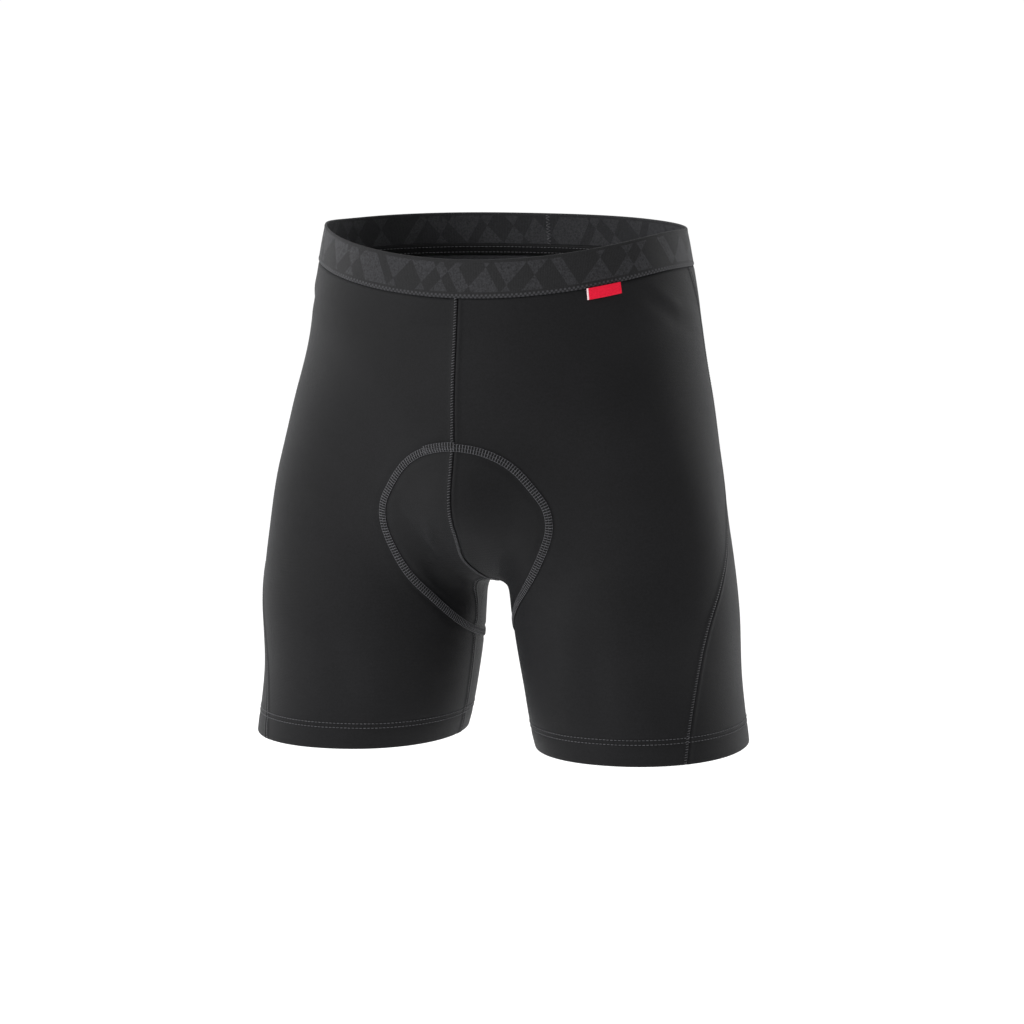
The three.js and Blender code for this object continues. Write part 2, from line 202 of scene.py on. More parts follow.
def form_distance(points):
    """Signed distance, about, from the garment's outer surface: softMin(legs, torso)."""
    x, y, z = points[..., 0], points[..., 1], points[..., 2]
    push = np.exp(-(((z - POUCH_Z) / POUCH_HALF_HEIGHT) ** 2) - (x / POUCH_HALF_WIDTH) ** 2)
    y = y + POUCH_DEPTH * push * smooth_step(-y, *POUCH_FADE)

    torso = table_at(TORSO, z)
    middle = (torso["back"] - torso["front"]) / 2
    depth = (torso["back"] + torso["front"]) / 2
    ring = rounded_norm(x / torso["half_width"], (y - middle) / depth, TORSO_SQUARENESS)
    below = np.maximum(0, DOME_TOP - z)
    norm = np.maximum(rounded_norm(ring, below / (DOME_TOP - DOME_BOTTOM), DOME_SQUARENESS), 1e-6)
    trunk = np.sqrt(x**2 + (y - middle) ** 2 + below**2) * (1 - 1 / norm)

    leg = table_at(LEG, z)
    across_y = y - leg["y"]
    leg_depth = np.where(across_y < 0, leg["front"], leg["back"])
    legs = []
    for side in (1, -1):
        across_x = side * x - leg["x"]
        norm = rounded_norm(across_x / leg["half_width"], across_y / leg_depth, LEG_SQUARENESS)
        legs.append(np.hypot(across_x, across_y) * (1 - 1 / np.maximum(norm, 1e-6)))
    softness = np.maximum(smooth_step(z, *BLEND_Z), smooth_step(np.abs(x), *BLEND_X))
    arch = mix(TIGHT, ARCH_REACH, smooth_step(z, *ARCH_Z))
    return soft_min(soft_min(legs[0], legs[1], arch), trunk, mix(TIGHT, BROAD, softness))


def unit(vectors):
    """Vectors scaled to length 1."""
    return vectors / np.maximum(np.linalg.norm(vectors, axis=-1, keepdims=True), 1e-12)


def form_normal(points):
    """Unit gradient of the distance, from differences across a small step each way."""
    steps = np.eye(3) * NORMAL_STEP
    return unit(np.stack([form_distance(points + s) - form_distance(points - s) for s in steps], -1))


def cast_out(origin, direction):
    """Where rays from inside the form first meet its surface: long strides, then halving."""
    origin, direction = np.broadcast_arrays(origin, direction)
    starts = origin.reshape(-1, 3)
    ways = direction.reshape(-1, 3)
    outside = np.full(len(starts), CAST_STRIDE)
    going = np.arange(len(starts))
    while len(going):
        within = form_distance(starts[going] + outside[going, None] * ways[going]) < 0
        going = going[within]
        outside[going] += CAST_STRIDE
    inside = outside - CAST_STRIDE
    for _ in range(CAST_HALVINGS):
        middle = (inside + outside) / 2
        within = form_distance(starts + middle[:, None] * ways) < 0
        inside = np.where(within, middle, inside)
        outside = np.where(within, outside, middle)
    return (starts + ((inside + outside) / 2)[:, None] * ways).reshape(origin.shape)


def heading(angle, slope=0.0):
    """(sin a, -cos a, -slope cos a): from the front (0) towards the wearer's left."""
    angle, slope = np.broadcast_arrays(angle, slope)
    return np.stack([np.sin(angle), -np.cos(angle), -slope * np.cos(angle)], -1)


def waist_rise(points):
    """How far the waist's edges rise above level: up at the back, and dipping at the middle front."""
    back = smooth_step(points[..., 1], -WAIST_BACK_FROM, WAIST_BACK_FROM)
    dip = (points[..., 0] / WAIST_HALF_WIDTH) ** 2 - 0.5
    return WAIST_STEP * (back - 0.5) + WAIST_SADDLE * (1 - back) * dip


def cast_lifted(start, direction, share):
    """cast_out, with its start lifted by a share of the waist's rise."""
    start, direction = np.broadcast_arrays(start, direction)
    lifted = start.copy()
    lifted[..., 2] += share * waist_rise(cast_out(start, direction))
    return cast_out(lifted, direction)


CROTCH = cast_out(np.array([0.0, CROTCH_Y, DOME_TOP]), np.array([0.0, 0.0, -1.0]))
CROTCH_SLOPE = -form_normal(CROTCH)[1] / form_normal(CROTCH)[2]


def heading_of(start, end):
    """Angle of a heading from start to end."""
    return np.arctan2(end[..., 0] - start[..., 0], start[..., 1] - end[..., 1])


def side_rows(heights, steps):
    """Rows of the wearer's left side, cast out from the leg's middle: (front, back) point grids."""
    z = np.asarray(heights, float)
    end = np.where(z > CROTCH[2], PANEL_TOP, LEG_FOOT)
    slope = CROTCH_SLOPE * np.clip(1 - (z - CROTCH[2]) / (end - CROTCH[2]), 0, 1)
    lift = smooth_step(z, WAIST_FADE_Z, -BAND_HALF_HEIGHT)
    leg = table_at(LEG, z)
    axis = np.stack([leg["x"], leg["y"], z + slope * (leg["y"] - CROTCH[1])], -1)

    def cast(angles):
        return cast_lifted(axis[:, None], heading(angles, slope[:, None]), lift[:, None])

    middle = np.stack([0 * z, 0 * z + CROTCH[1], z], -1)
    above = z > CROTCH[2] + 1e-6
    at_crotch = np.abs(z - CROTCH[2]) <= 1e-6
    ends = [cast_lifted(middle, heading(angle, slope), lift) for angle in (0.0, math.pi)]
    for k, way in enumerate((-1, 1)):
        ends[k] = np.where(at_crotch[:, None], CROTCH + [0, way * SEAM_GAP / 2, 0], ends[k])
    settled = smooth_step(CROTCH[2] - z, 0, INSEAM_SETTLES)
    inseam = mix(heading_of(axis, CROTCH), math.radians(INSEAM_ANGLE), settled)
    joined = above | at_crotch
    first = np.where(joined, heading_of(axis, ends[0]), inseam)
    last = np.where(joined, heading_of(axis, ends[1]), inseam) + 2 * math.pi

    def seam_at(height):
        return np.radians(table_at(SIDE_SEAM, height)["angle"])

    seam = seam_at(cast(seam_at(z)[:, None])[:, 0, 2])
    t = np.linspace(0, 1, steps + 1)
    front = cast(mix(first[:, None], seam[:, None], t))
    back = cast(mix(seam[:, None], last[:, None], t))
    front[joined, 0] = ends[0][joined]
    back[joined, -1] = ends[1][joined]
    return front, back


def lengths_along(line):
    """Distance along lines of points, from each line's start."""
    steps = np.linalg.norm(np.diff(line, axis=-2), axis=-1)
    return np.concatenate([np.zeros(line.shape[:-2] + (1,)), np.cumsum(steps, -1)], -1)


def resample(line, at):
    """Points of one line at these distances along it."""
    lengths = lengths_along(line)
    return np.stack([np.interp(at, lengths, line[:, k]) for k in range(3)], -1)


def settle(points):
    """Points brought back onto the form along its normal."""
    for _ in range(3):
        points = points - form_normal(points) * form_distance(points)[..., None]
    return points


# ---- Creases and relief ---------------------------------------------------------------------

# Soft troughs (below zero) and ridges: the side that they face, places across it
# and up it, their half width, and their height.
Crease = namedtuple("Crease", "face points width height")
FACES = {"front": (0, -1, 0), "back": (0, 1, 0), "left": (1, 0, 0), "right": (-1, 0, 0), "in": (0, 0, -1)}
ACROSS = {"front": 0, "back": 0, "left": 1, "right": 1, "in": 0}
CREASES = (
    Crease("front", ((-24, -214), (-27, -234), (-26, -256)), 6, 1.3),
    Crease("front", ((-37, -246), (-34, -268), (-26, -288), (-14, -308)), 8, -3.6),
    Crease("front", ((-21, -274), (-15, -292), (-11, -310)), 3.5, 1.5),
    Crease("front", ((60, -248), (82, -256), (104, -254)), 5, -0.7),
    Crease("front", ((66, -262), (90, -270), (112, -266)), 5, 0.6),
    Crease("front", ((-44, -50), (-20, -53), (2, -50)), 4, -0.5),
    Crease("front", ((84, -300), (88, -340), (86, -390)), 12, 1.2),
    Crease("front", ((112, -290), (118, -340), (118, -400)), 15, -1.6),
    Crease("front", ((-70, -300), (-78, -350), (-80, -400)), 16, 1.0),
    Crease("front", ((-120, -300), (-112, -350), (-110, -400)), 16, -1.2),
    Crease("left", ((-60, -28), (-30, -52), (0, -62)), 7, -1.2),
    Crease("left", ((-52, -22), (-22, -44), (14, -52)), 6, 1.0),
    Crease("right", ((-50, -30), (-20, -50), (10, -60)), 7, -1.0),
    Crease("right", ((-44, -24), (-14, -42), (20, -50)), 6, 0.8),
    Crease("back", ((30, -262), (70, -282), (120, -286)), 9, -1.8),
    Crease("back", ((34, -280), (76, -298), (124, -302)), 8, 1.0),
    Crease("back", ((-30, -264), (-72, -280), (-118, -288)), 9, -1.6),
    Crease("back", ((-36, -282), (-80, -298), (-122, -300)), 8, 0.9),
    Crease("back", ((20, -60), (60, -78), (96, -74)), 8, -0.8),
    Crease("back", ((-16, -66), (-58, -74), (-92, -80)), 8, -0.7),
    Crease("back", ((-6, -110), (-4, -150), (-6, -200)), 8, -1.6),
    Crease("back", ((80, -330), (90, -360), (86, -400)), 14, 1.0),
    Crease("back", ((-86, -326), (-92, -362), (-90, -402)), 14, 0.9),
)
HEM_ROWS = (-392.5, -397)
CREST_HEIGHT = 2.0
CREST_WIDTH = 20
RIM_ROUNDINGS = 70
RIM_DRAWN_IN = 5
RIM_DRAWN_Z = -208
RIM_DRAWN_HEIGHT = 38
RIM_POINTS = 900

# The pad's print on the cloth: how far it reaches from the stitching, the step up onto the foam,
# and the groove on either side of the stitching as (place outwards, half width, depth).
PRINT_REACH = 15
PRINT_STEP = 0.8
PRINT_STEP_INWARDS = (6, 13)
OUTER_GROOVE = (1.4, 1.5, 0.7)
INNER_GROOVE = (-8, 1.5, 0.6)

# Where the front seam's crest fades in and out, how deep the hem's rows pull, and its turned edge.
CREST_FACING = (0.2, 0.6)
CREST_BELOW = (24, 80)
CREST_ENDS = (-240, -205)
HEM_ROW_DEPTH = 0.35
HEM_ROW_WIDTH = 1.3
HEM_SWELL = 0.25
HEM_SWELL_BELOW = (398, 404)

# How far the sewn seams wander, and the height at which they wander most.
FRONT_SWAY = -6
FRONT_SWAY_Z = -252
INNER_SWAY = 11
INNER_SWAY_Z = -300


def crease_height(points, normals):
    """Sum of the creases' heights, each fading away from its line, towards its ends and round the sides."""
    total = np.zeros(points.shape[:-1])
    for crease in CREASES:
        across = points[..., ACROSS[crease.face]]
        line = np.array(crease.points, float)
        fractions = np.linspace(0, 1, 21)
        knots = np.linspace(0, 1, len(line))
        line = np.stack([np.interp(fractions, knots, line[:, k]) for k in (0, 1)], -1)
        flat = np.stack([across.ravel(), points[..., 2].ravel()], -1)
        gaps = np.hypot(flat[:, None, 0] - line[:, 0], flat[:, None, 1] - line[:, 1])
        nearest = gaps.argmin(1)
        fade = np.sqrt(np.sin(np.pi * np.clip(fractions[nearest], 0.02, 0.98)))
        gap = gaps[np.arange(len(flat)), nearest]
        facing = smooth_step(normals @ np.array(FACES[crease.face], float), 0.05, 0.45)
        total += crease.height * (bell(gap, crease.width) * fade).reshape(total.shape) * facing
    return total


def gap_to_line(points, line, ways):
    """Distance from the nearest point of a line, and how far outwards of it along that point's way."""
    flat = points.reshape(-1, 3)
    distance = np.empty(len(flat))
    outwards = np.empty(len(flat))
    for start in range(0, len(flat), 20000):
        part = flat[start : start + 20000]
        squares = (part**2).sum(1)[:, None] - 2 * part @ line.T + (line**2).sum(1)
        nearest = squares.argmin(1)
        gap = part - line[nearest]
        distance[start : start + 20000] = np.linalg.norm(gap, axis=1)
        outwards[start : start + 20000] = (gap * ways[nearest]).sum(1)
    return distance.reshape(points.shape[:-1]), outwards.reshape(points.shape[:-1])


# ---- The pad's lie on the form --------------------------------------------------------------


def middle_line():
    """The middle line from front to back under the crotch, and its distance at the crotch."""
    tilt = np.radians(np.linspace(-118, 118, 481))
    ways = np.stack([0 * tilt, np.sin(tilt), -np.cos(tilt)], -1)
    line = cast_out(np.array([0.0, 0.0, DOME_TOP]), ways)
    crotch_at = lengths_along(line)[np.linalg.norm(line - CROTCH, axis=1).argmin()]
    return line, crotch_at


def pad_half_width(along):
    """The outline's half width at a distance along, rounded off at both ends."""
    into_front = np.clip((PAD_FRONT + PAD_CAP_FRONT - along) / PAD_CAP_FRONT, 0, 1)
    into_rear = np.clip((along - PAD_REAR + PAD_CAP_REAR) / PAD_CAP_REAR, 0, 1)
    cap = np.sqrt(np.maximum(1 - np.maximum(into_front, into_rear) ** 2, 0))
    return np.maximum(table_at(PAD_OUTLINE, along)["half_width"] * cap, PAD_TIP), cap


def pad_rows(along, half_widths, columns):
    """Rows across the middle line, walked outwards on the surface in small steps to each side."""
    line, crotch_at = middle_line()
    lengths = lengths_along(line)
    at = np.clip(along + crotch_at, 0, lengths[-1] - 1)
    start = np.stack([np.interp(at, lengths, line[:, k]) for k in range(3)], -1)
    ahead = np.stack([np.interp(at + 1, lengths, line[:, k]) for k in range(3)], -1)
    forwards = unit(ahead - start)
    walk = [settle(start)]
    way = np.array([[1.0, 0.0, 0.0]])
    for _ in range(WALK_STEPS):
        ahead = unit(np.cross(forwards, form_normal(walk[-1])))
        way = ahead * np.where((ahead * way).sum(-1, keepdims=True) < 0, -1, 1)
        walk.append(settle(walk[-1] + way * (half_widths / WALK_STEPS)[:, None]))
    walk = np.stack(walk, 1)
    half = columns // 2 + 1
    left = np.stack([resample(row, np.linspace(0, lengths_along(row)[-1], half)) for row in walk])
    return np.concatenate([left[:, :0:-1] * [-1, 1, 1], left], 1)


def pad_rim():
    """The pad's outline on the cloth as one closed line, with the outward way at each point."""
    turn = (1 - np.cos(np.linspace(0, math.pi, 181))) / 2
    along = mix(PAD_FRONT, PAD_REAR, turn)
    half_widths, _ = pad_half_width(along)
    half_widths[[0, -1]] = PAD_TIP
    rows = pad_rows(along, half_widths, 8)
    loop = np.concatenate([rows[:, -1], rows[-1, 1:-1][::-1], rows[::-1, 0], rows[0, 1:-1]])
    loop = np.concatenate([loop, loop[:1]])
    loop = settle(resample(loop, np.linspace(0, lengths_along(loop)[-1], RIM_POINTS)[:-1]))
    for _ in range(RIM_ROUNDINGS):
        loop = (np.roll(loop, 1, 0) + 2 * loop + np.roll(loop, -1, 0)) / 4
    loop = settle(loop)
    forwards = unit(np.roll(loop, -1, 0) - np.roll(loop, 1, 0))
    outwards = unit(np.cross(form_normal(loop), forwards))
    middle = loop.mean(0) * [0, 1, 1]
    if (outwards * (loop - middle)).sum() < 0:
        outwards = -outwards
    drawn_in = RIM_DRAWN_IN * bell(loop[:, 2] - RIM_DRAWN_Z, RIM_DRAWN_HEIGHT)
    drawn_in *= smooth_step(-loop[:, 0], 20, 60)
    drawn_in *= smooth_step(-loop[:, 1], 60, 90)
    return settle(loop - outwards * drawn_in[:, None]), outwards


PAD_RIM, PAD_OUTWARDS = pad_rim()


def relief(points, normals):
    """Height of the cloth above the form: creases, the pad's print, the front seam's crest and the hem.

    The crest is h exp(-|x| / w), so that the cloth rises to the seam from both sides.
    """
    gap, outwards = gap_to_line(points, PAD_RIM, PAD_OUTWARDS)
    near = bell(gap, PRINT_REACH)
    height = crease_height(points, normals)
    step = PRINT_STEP * smooth_step(-outwards, *PRINT_STEP_INWARDS)
    place, width, depth = OUTER_GROOVE
    height += near * (step - depth * bell(outwards - place, width))
    place, width, depth = INNER_GROOVE
    height -= depth * near * bell(outwards - place, width)
    front = smooth_step(-normals[..., 1], *CREST_FACING) * smooth_step(-points[..., 2], *CREST_BELOW)
    front *= smooth_step(points[..., 2], *CREST_ENDS)
    height += CREST_HEIGHT * np.exp(-np.abs(points[..., 0]) / CREST_WIDTH) * front
    for row in HEM_ROWS:
        height -= HEM_ROW_DEPTH * bell(points[..., 2] - row, HEM_ROW_WIDTH)
    height += HEM_SWELL * smooth_step(-points[..., 2], *HEM_SWELL_BELOW)
    return height


def sway(points):
    """The cloth's points moved along the form where the sewn seams wander from their plan.

    The front seam sways to the wearer's right above the crotch, and the inner seams sway back below it.
    """
    x, y, z = np.moveaxis(points, -1, 0)
    aside = FRONT_SWAY * bell(z - FRONT_SWAY_Z, 18) * bell(x, 24) * smooth_step(-y, 40, 60)
    back = INNER_SWAY * bell(z - INNER_SWAY_Z, 20) * bell(np.abs(x) - 22, 22)
    back = back * smooth_step(-y, 5, 25) * smooth_step(y, -80, -60)
    return settle(points + np.stack([aside, back, 0 * z], -1))


# ---- Meshes ---------------------------------------------------------------------------------


def make_mesh(name, points, faces, uvs=None, parts=None):
    """A smooth mesh object from points in millimetres and quads; parts gives each face's material."""
    mesh = bpy.data.meshes.new(name)
    mesh.vertices.add(len(points))
    mesh.vertices.foreach_set("co", (np.asarray(points, float) * MM).astype(np.float32).ravel())
    mesh.loops.add(faces.size)
    mesh.loops.foreach_set("vertex_index", faces.astype(np.int32).ravel())
    mesh.polygons.add(len(faces))
    mesh.polygons.foreach_set("loop_start", np.arange(0, faces.size, 4, dtype=np.int32))
    mesh.polygons.foreach_set("use_smooth", np.ones(len(faces), bool))
    if parts is not None:
        mesh.polygons.foreach_set("material_index", parts.astype(np.int32))
    mesh.update(calc_edges=True)
    if uvs is not None:
        layer = mesh.uv_layers.new(name="cloth")
        layer.data.foreach_set("uv", uvs.astype(np.float32).ravel())
    obj = bpy.data.objects.new(name, mesh)
    bpy.context.scene.collection.objects.link(obj)
    return obj


def grid_corners(rows, columns, ring=False):
    """Row and column of the four corners of each quad of a grid; a ring's last column wraps."""
    spans = columns if ring else columns - 1
    r, c = (a.ravel() for a in np.meshgrid(np.arange(rows - 1), np.arange(spans), indexing="ij"))
    return np.stack([r, r + 1, r + 1, r], -1), np.stack([c, c, c + 1, c + 1], -1)


def make_wall(name, outer, inner, uv, ring=False, materials=2):
    """A closed wall between two grids: outside, inside and rims, with UV in metres."""
    rows, columns = outer.shape[:2]
    r, c = grid_corners(rows, columns, ring)
    wrapped = c % columns
    outside = r * columns + wrapped
    inside = rows * columns + outside
    quads = [outside, inside[:, ::-1]]
    places = [uv[r, c], uv[r, c][:, ::-1]]
    kinds = [np.zeros(len(r)), np.full(len(r), materials - 1)]
    c0 = np.arange(columns if ring else columns - 1)
    c1 = (c0 + 1) % columns
    for row, flip in ((0, False), (rows - 1, True)):
        a, b = row * columns + c0, row * columns + c1
        rim = np.stack([a, b, b + rows * columns, a + rows * columns], -1)
        place = np.stack([uv[row, c0], uv[row, c0 + 1], uv[row, c0 + 1], uv[row, c0]], 1)
        quads.append(rim[:, ::-1] if flip else rim)
        places.append(place[:, ::-1] if flip else place)
        kinds.append(np.zeros(len(rim)))
    if not ring:
        r0 = np.arange(rows - 1)
        for column, flip in ((0, True), (columns - 1, False)):
            a, b = r0 * columns + column, (r0 + 1) * columns + column
            rim = np.stack([a, b, b + rows * columns, a + rows * columns], -1)
            place = np.stack([uv[r0, column], uv[r0 + 1, column], uv[r0 + 1, column], uv[r0, column]], 1)
            quads.append(rim[:, ::-1] if flip else rim)
            places.append(place[:, ::-1] if flip else place)
            kinds.append(np.zeros(len(rim)))
    points = np.concatenate([outer.reshape(-1, 3), inner.reshape(-1, 3)])
    faces = np.concatenate(quads)
    uvs = np.concatenate(places)
    a, b, d = points[faces[:, 0]], points[faces[:, 1]], points[faces[:, 2]]
    if (a * np.cross(b, d)).sum() < 0:
        faces, uvs = faces[:, ::-1], uvs[:, ::-1]
    return make_mesh(name, points, faces, uvs, np.concatenate(kinds))


def rods(starts, ends, normals, radius, rise):
    """Stitches: four-sided rods from start to end, thin at both ends, that arch along the normal."""
    t = np.array([0.0, 0.2, 0.5, 0.8, 1.0])
    girth = radius * np.array([0.4, 1.0, 1.05, 1.0, 0.4])
    arch = rise * np.sin(math.pi * t)
    way = unit(ends - starts)
    up = unit(normals - way * (normals * way).sum(-1, keepdims=True))
    side = np.cross(way, up)
    middle = mix(starts[:, None], ends[:, None], t[:, None]) + up[:, None] * arch[:, None]
    turn = np.arange(4) * math.pi / 2 + math.pi / 4
    ring = np.cos(turn)[:, None] * side[:, None, None] + np.sin(turn)[:, None] * up[:, None, None]
    points = middle[:, :, None] + girth[:, None, None] * ring
    k, s = (a.ravel() for a in np.meshgrid(np.arange(4), np.arange(4), indexing="ij"))
    around = np.stack([k * 4 + s, k * 4 + (s + 1) % 4, (k + 1) * 4 + (s + 1) % 4, (k + 1) * 4 + s], -1)
    caps = np.array([[3, 2, 1, 0], [16, 17, 18, 19]])
    one = np.concatenate([around, caps])
    faces = (one + np.arange(len(starts))[:, None, None] * 20).reshape(-1, 4)
    return points.reshape(-1, 3), faces


def tube(line, normals, profile, closed=False):
    """A profile of (side, up) places swept along a line, drawn in to its middle at both ends."""
    if closed:
        forwards = unit(np.roll(line, -1, 0) - np.roll(line, 1, 0))
    else:
        forwards = unit(np.gradient(line, axis=0))
    up = unit(normals - forwards * (normals * forwards).sum(-1, keepdims=True))
    side = np.cross(forwards, up)
    profile = np.array(profile, float)
    size = np.ones(len(line))
    if not closed:
        size[[0, -1]] = 0.15
    places = profile[None] * size[:, None, None]
    points = line[:, None] + places[..., :1] * side[:, None] + places[..., 1:] * up[:, None]
    count, sides = points.shape[:2]
    spans = count if closed else count - 1
    r, c = (a.ravel() for a in np.meshgrid(np.arange(spans), np.arange(sides), indexing="ij"))
    r2, c2 = (r + 1) % count, (c + 1) % sides
    faces = np.stack([r * sides + c, r * sides + c2, r2 * sides + c2, r2 * sides + c], -1)
    points = points.reshape(-1, 3)
    across = np.cross(points[faces[:, 2]] - points[faces[:, 0]], points[faces[:, 3]] - points[faces[:, 1]])
    outwards = points[faces].mean(1) - line[r]
    if (across * outwards).sum() < 0:
        faces = faces[:, ::-1]
    return points, faces


def joined(pieces):
    """Points and faces of several meshes as one, with each piece's number for its faces."""
    points, faces, kinds, offset = [], [], [], 0
    for (some_points, some_faces), kind in pieces:
        points.append(some_points)
        faces.append(some_faces + offset)
        kinds.append(np.full(len(some_faces), kind))
        offset += len(some_points)
    return np.concatenate(points), np.concatenate(faces), np.concatenate(kinds)


def cloth_line(line, spacing, inside=False, closed=False, shift=0.0):
    """A line laid on the cloth: even points, the way along, the cloth's normal and the way across."""
    total = lengths_along(line)[-1]
    count = max(int(total / spacing), 4)
    line = settle(resample(line, np.linspace(0, total, count + 1)))
    if closed:
        line = line[:-1]
    forwards = unit(np.gradient(line, axis=0))
    if shift:
        line = settle(line + np.cross(forwards, form_normal(line)) * shift)
    normals = form_normal(line)
    height = relief(line, normals)
    if inside:
        height = height - 1.2
        normals = -normals
        return line - normals * height[:, None], forwards, normals, np.cross(forwards, normals)
    return line + normals * height[:, None], forwards, normals, np.cross(forwards, normals)


FLATLOCK = 2.8
RIDGE = ((-1, 0), (-0.7, 0.72), (0, 1), (0.7, 0.72), (1, 0), (0, -0.6))


def ridge(line, normals, half_width, height, closed=False):
    """A low rounded ridge along a line."""
    profile = np.array(RIDGE) * [half_width, height]
    return tube(line, normals, profile, closed)


def rungs(laid, half_width, radius, rise, lift, offset=0.0, slant=0.0):
    """Stitches across a line, one at each of its points, each slanted a little."""
    line, forwards, normals, across = laid
    shift = normals * lift + across * offset
    starts = line + shift - across * half_width - forwards * slant
    ends = line + shift + across * half_width + forwards * slant
    return rods(starts, ends, normals, radius, rise)


def dashes(laid, length, radius, rise, lift, offset=0.0):
    """Stitches along a line, one at each of its points."""
    line, forwards, normals, across = laid
    middle = line + normals * lift + across * offset
    return rods(middle - forwards * length / 2, middle + forwards * length / 2, normals, radius, rise)


def zigzag(laid, half_width, radius, rise, lift):
    """One thread that crosses a line to and fro, from point to point."""
    line, _, normals, across = laid
    way = np.where(np.arange(len(line)) % 2 == 0, 1, -1)[:, None]
    places = line + normals * lift + across * half_width * way
    return rods(places[:-1], places[1:], unit(normals[:-1] + normals[1:]), radius, rise)


# ---- Materials ------------------------------------------------------------------------------


def rgba(text):
    """An sRGB hex colour as linear RGBA."""
    parts = [int(text[k : k + 2], 16) / 255 for k in (0, 2, 4)]
    return tuple(p / 12.92 if p <= 0.04045 else ((p + 0.055) / 1.055) ** 2.4 for p in parts) + (1.0,)


def linear(colour):
    """A colour as linear RGBA, from a setting or an sRGB hex."""
    return rgba(colour) if isinstance(colour, str) else tuple(colour)


def add(tree, kind, links=None, stops=(), blend="LINEAR", **settings):
    """A shader node with its settings; stops gives a ramp its (place, colour) pairs.

    A link's value is an output to join, a node whose first output is meant, or a plain value.
    """
    node = tree.nodes.new("ShaderNode" + kind)
    for name, value in settings.items():
        setattr(node, name, value)
    if stops:
        node.color_ramp.interpolation = blend
        elements = node.color_ramp.elements
        while len(elements) < len(stops):
            elements.new(0.5)
        for element, (place, colour) in zip(elements, stops):
            element.position = place
            element.color = linear(colour)
    for socket, value in (links or {}).items():
        if isinstance(value, bpy.types.Node):
            value = value.outputs[0]
        if isinstance(value, bpy.types.NodeSocket):
            tree.links.new(value, node.inputs[socket])
        else:
            node.inputs[socket].default_value = value
    return node


def new_material(name, roughness, sheen=0.0, sheen_roughness=0.4, tint="ffffff", specular=0.5):
    """A material with a Principled shader and its unlinked finish."""
    material = bpy.data.materials.new(name)
    material.use_nodes = True
    tree = material.node_tree
    shader = tree.nodes["Principled BSDF"]
    shader.inputs["Roughness"].default_value = roughness
    shader.inputs["Sheen Weight"].default_value = sheen
    shader.inputs["Sheen Roughness"].default_value = sheen_roughness
    shader.inputs["Sheen Tint"].default_value = rgba(tint)
    shader.inputs["Specular IOR Level"].default_value = specular
    return material, tree, shader


def surface(tree, shader, colour, height, strength, distance):
    """Joins a colour and a relief, with its strength and its depth in metres, to a shader."""
    bump = add(tree, "Bump", {"Height": height, "Strength": strength, "Distance": distance})
    tree.links.new(colour, shader.inputs["Base Color"])
    tree.links.new(bump.outputs[0], shader.inputs["Normal"])


def uv_metres(tree):
    """The cloth's U and V, in metres along and up the cut."""
    split = add(tree, "SeparateXYZ", {0: add(tree, "UVMap", uv_map="cloth")})
    return split.outputs[0], split.outputs[1]


def wave(tree, value, period):
    """sin(2 pi value / period), from -1 to 1."""
    turns = add(tree, "Math", {0: value, 1: 2 * math.pi / period}, operation="MULTIPLY")
    return add(tree, "Math", {0: turns}, operation="SINE")


def weighted(tree, *parts):
    """The sum of (value, weight) pairs; a weight of None leaves its value whole."""
    total = None
    for value, weight in parts:
        if weight is not None:
            value = add(tree, "Math", {0: value, 1: weight}, operation="MULTIPLY")
        total = value if total is None else add(tree, "Math", {0: total, 1: value}, operation="ADD")
    return total


def patches(tree, *sizes):
    """Noise on object coordinates for each size: (patches a metre, detail, roughness)."""
    place = add(tree, "TexCoord").outputs["Object"]
    return [
        add(tree, "TexNoise", {"Vector": place, "Scale": scale, "Detail": detail, "Roughness": roughness})
        for scale, detail, roughness in sizes
    ]


WALE = 0.0018
COURSE = 0.0011


def jersey_material(name, dark, light, strength):
    """Warp-knit stretch jersey: fine upright wales, heathered filaments and a soft bloom at the rims.

    The wales and courses are drawn coarser than the real ones, to show.
    """
    material, tree, shader = new_material(name, 0.62, 0.06, 0.35, "dfe2e8", 0.14)
    u, v = uv_metres(tree)
    wales = add(tree, "Math", {0: wave(tree, u, WALE)}, operation="ABSOLUTE")
    rows = add(tree, "Math", {0: v, 1: 2 * math.pi / COURSE}, operation="MULTIPLY")
    staggered = weighted(tree, (rows, None), (wave(tree, u, WALE), 1.2))
    courses = add(tree, "Math", {0: staggered}, operation="SINE")
    fuzz, heather, cast = patches(tree, (1500, 3, 0.5), (620, 4, 0.7), (14, 3, 0.5))
    loops = weighted(tree, (wales, 0.7), (courses, 0.3))
    tone = weighted(tree, (heather, 0.6), (cast, 0.25), (loops, 0.15))
    colour = add(tree, "ValToRGB", {"Fac": tone}, ((0.3, dark), (0.72, light))).outputs["Color"]
    surface(tree, shader, colour, weighted(tree, (loops, None), (fuzz, None)), strength, 0.00025)
    rough = add(tree, "Math", {0: heather, 1: 0.2, 2: 0.52}, operation="MULTIPLY_ADD")
    tree.links.new(rough.outputs[0], shader.inputs["Roughness"])
    return material


# Slant, repeat in metres and places along it where each of the two sets of blocks starts and stops.
BLOCKS = (
    (0.55, 0.157, (0.0, 0.09, 0.24, 0.3, 0.47, 0.6, 0.66, 0.85)),
    (-0.95, 0.239, (0.0, 0.13, 0.2, 0.41, 0.52, 0.58, 0.79, 0.9)),
)
BLOCKS_BETWEEN = (0.0052, 0.0292)
PICOT_BELOW = 0.0034


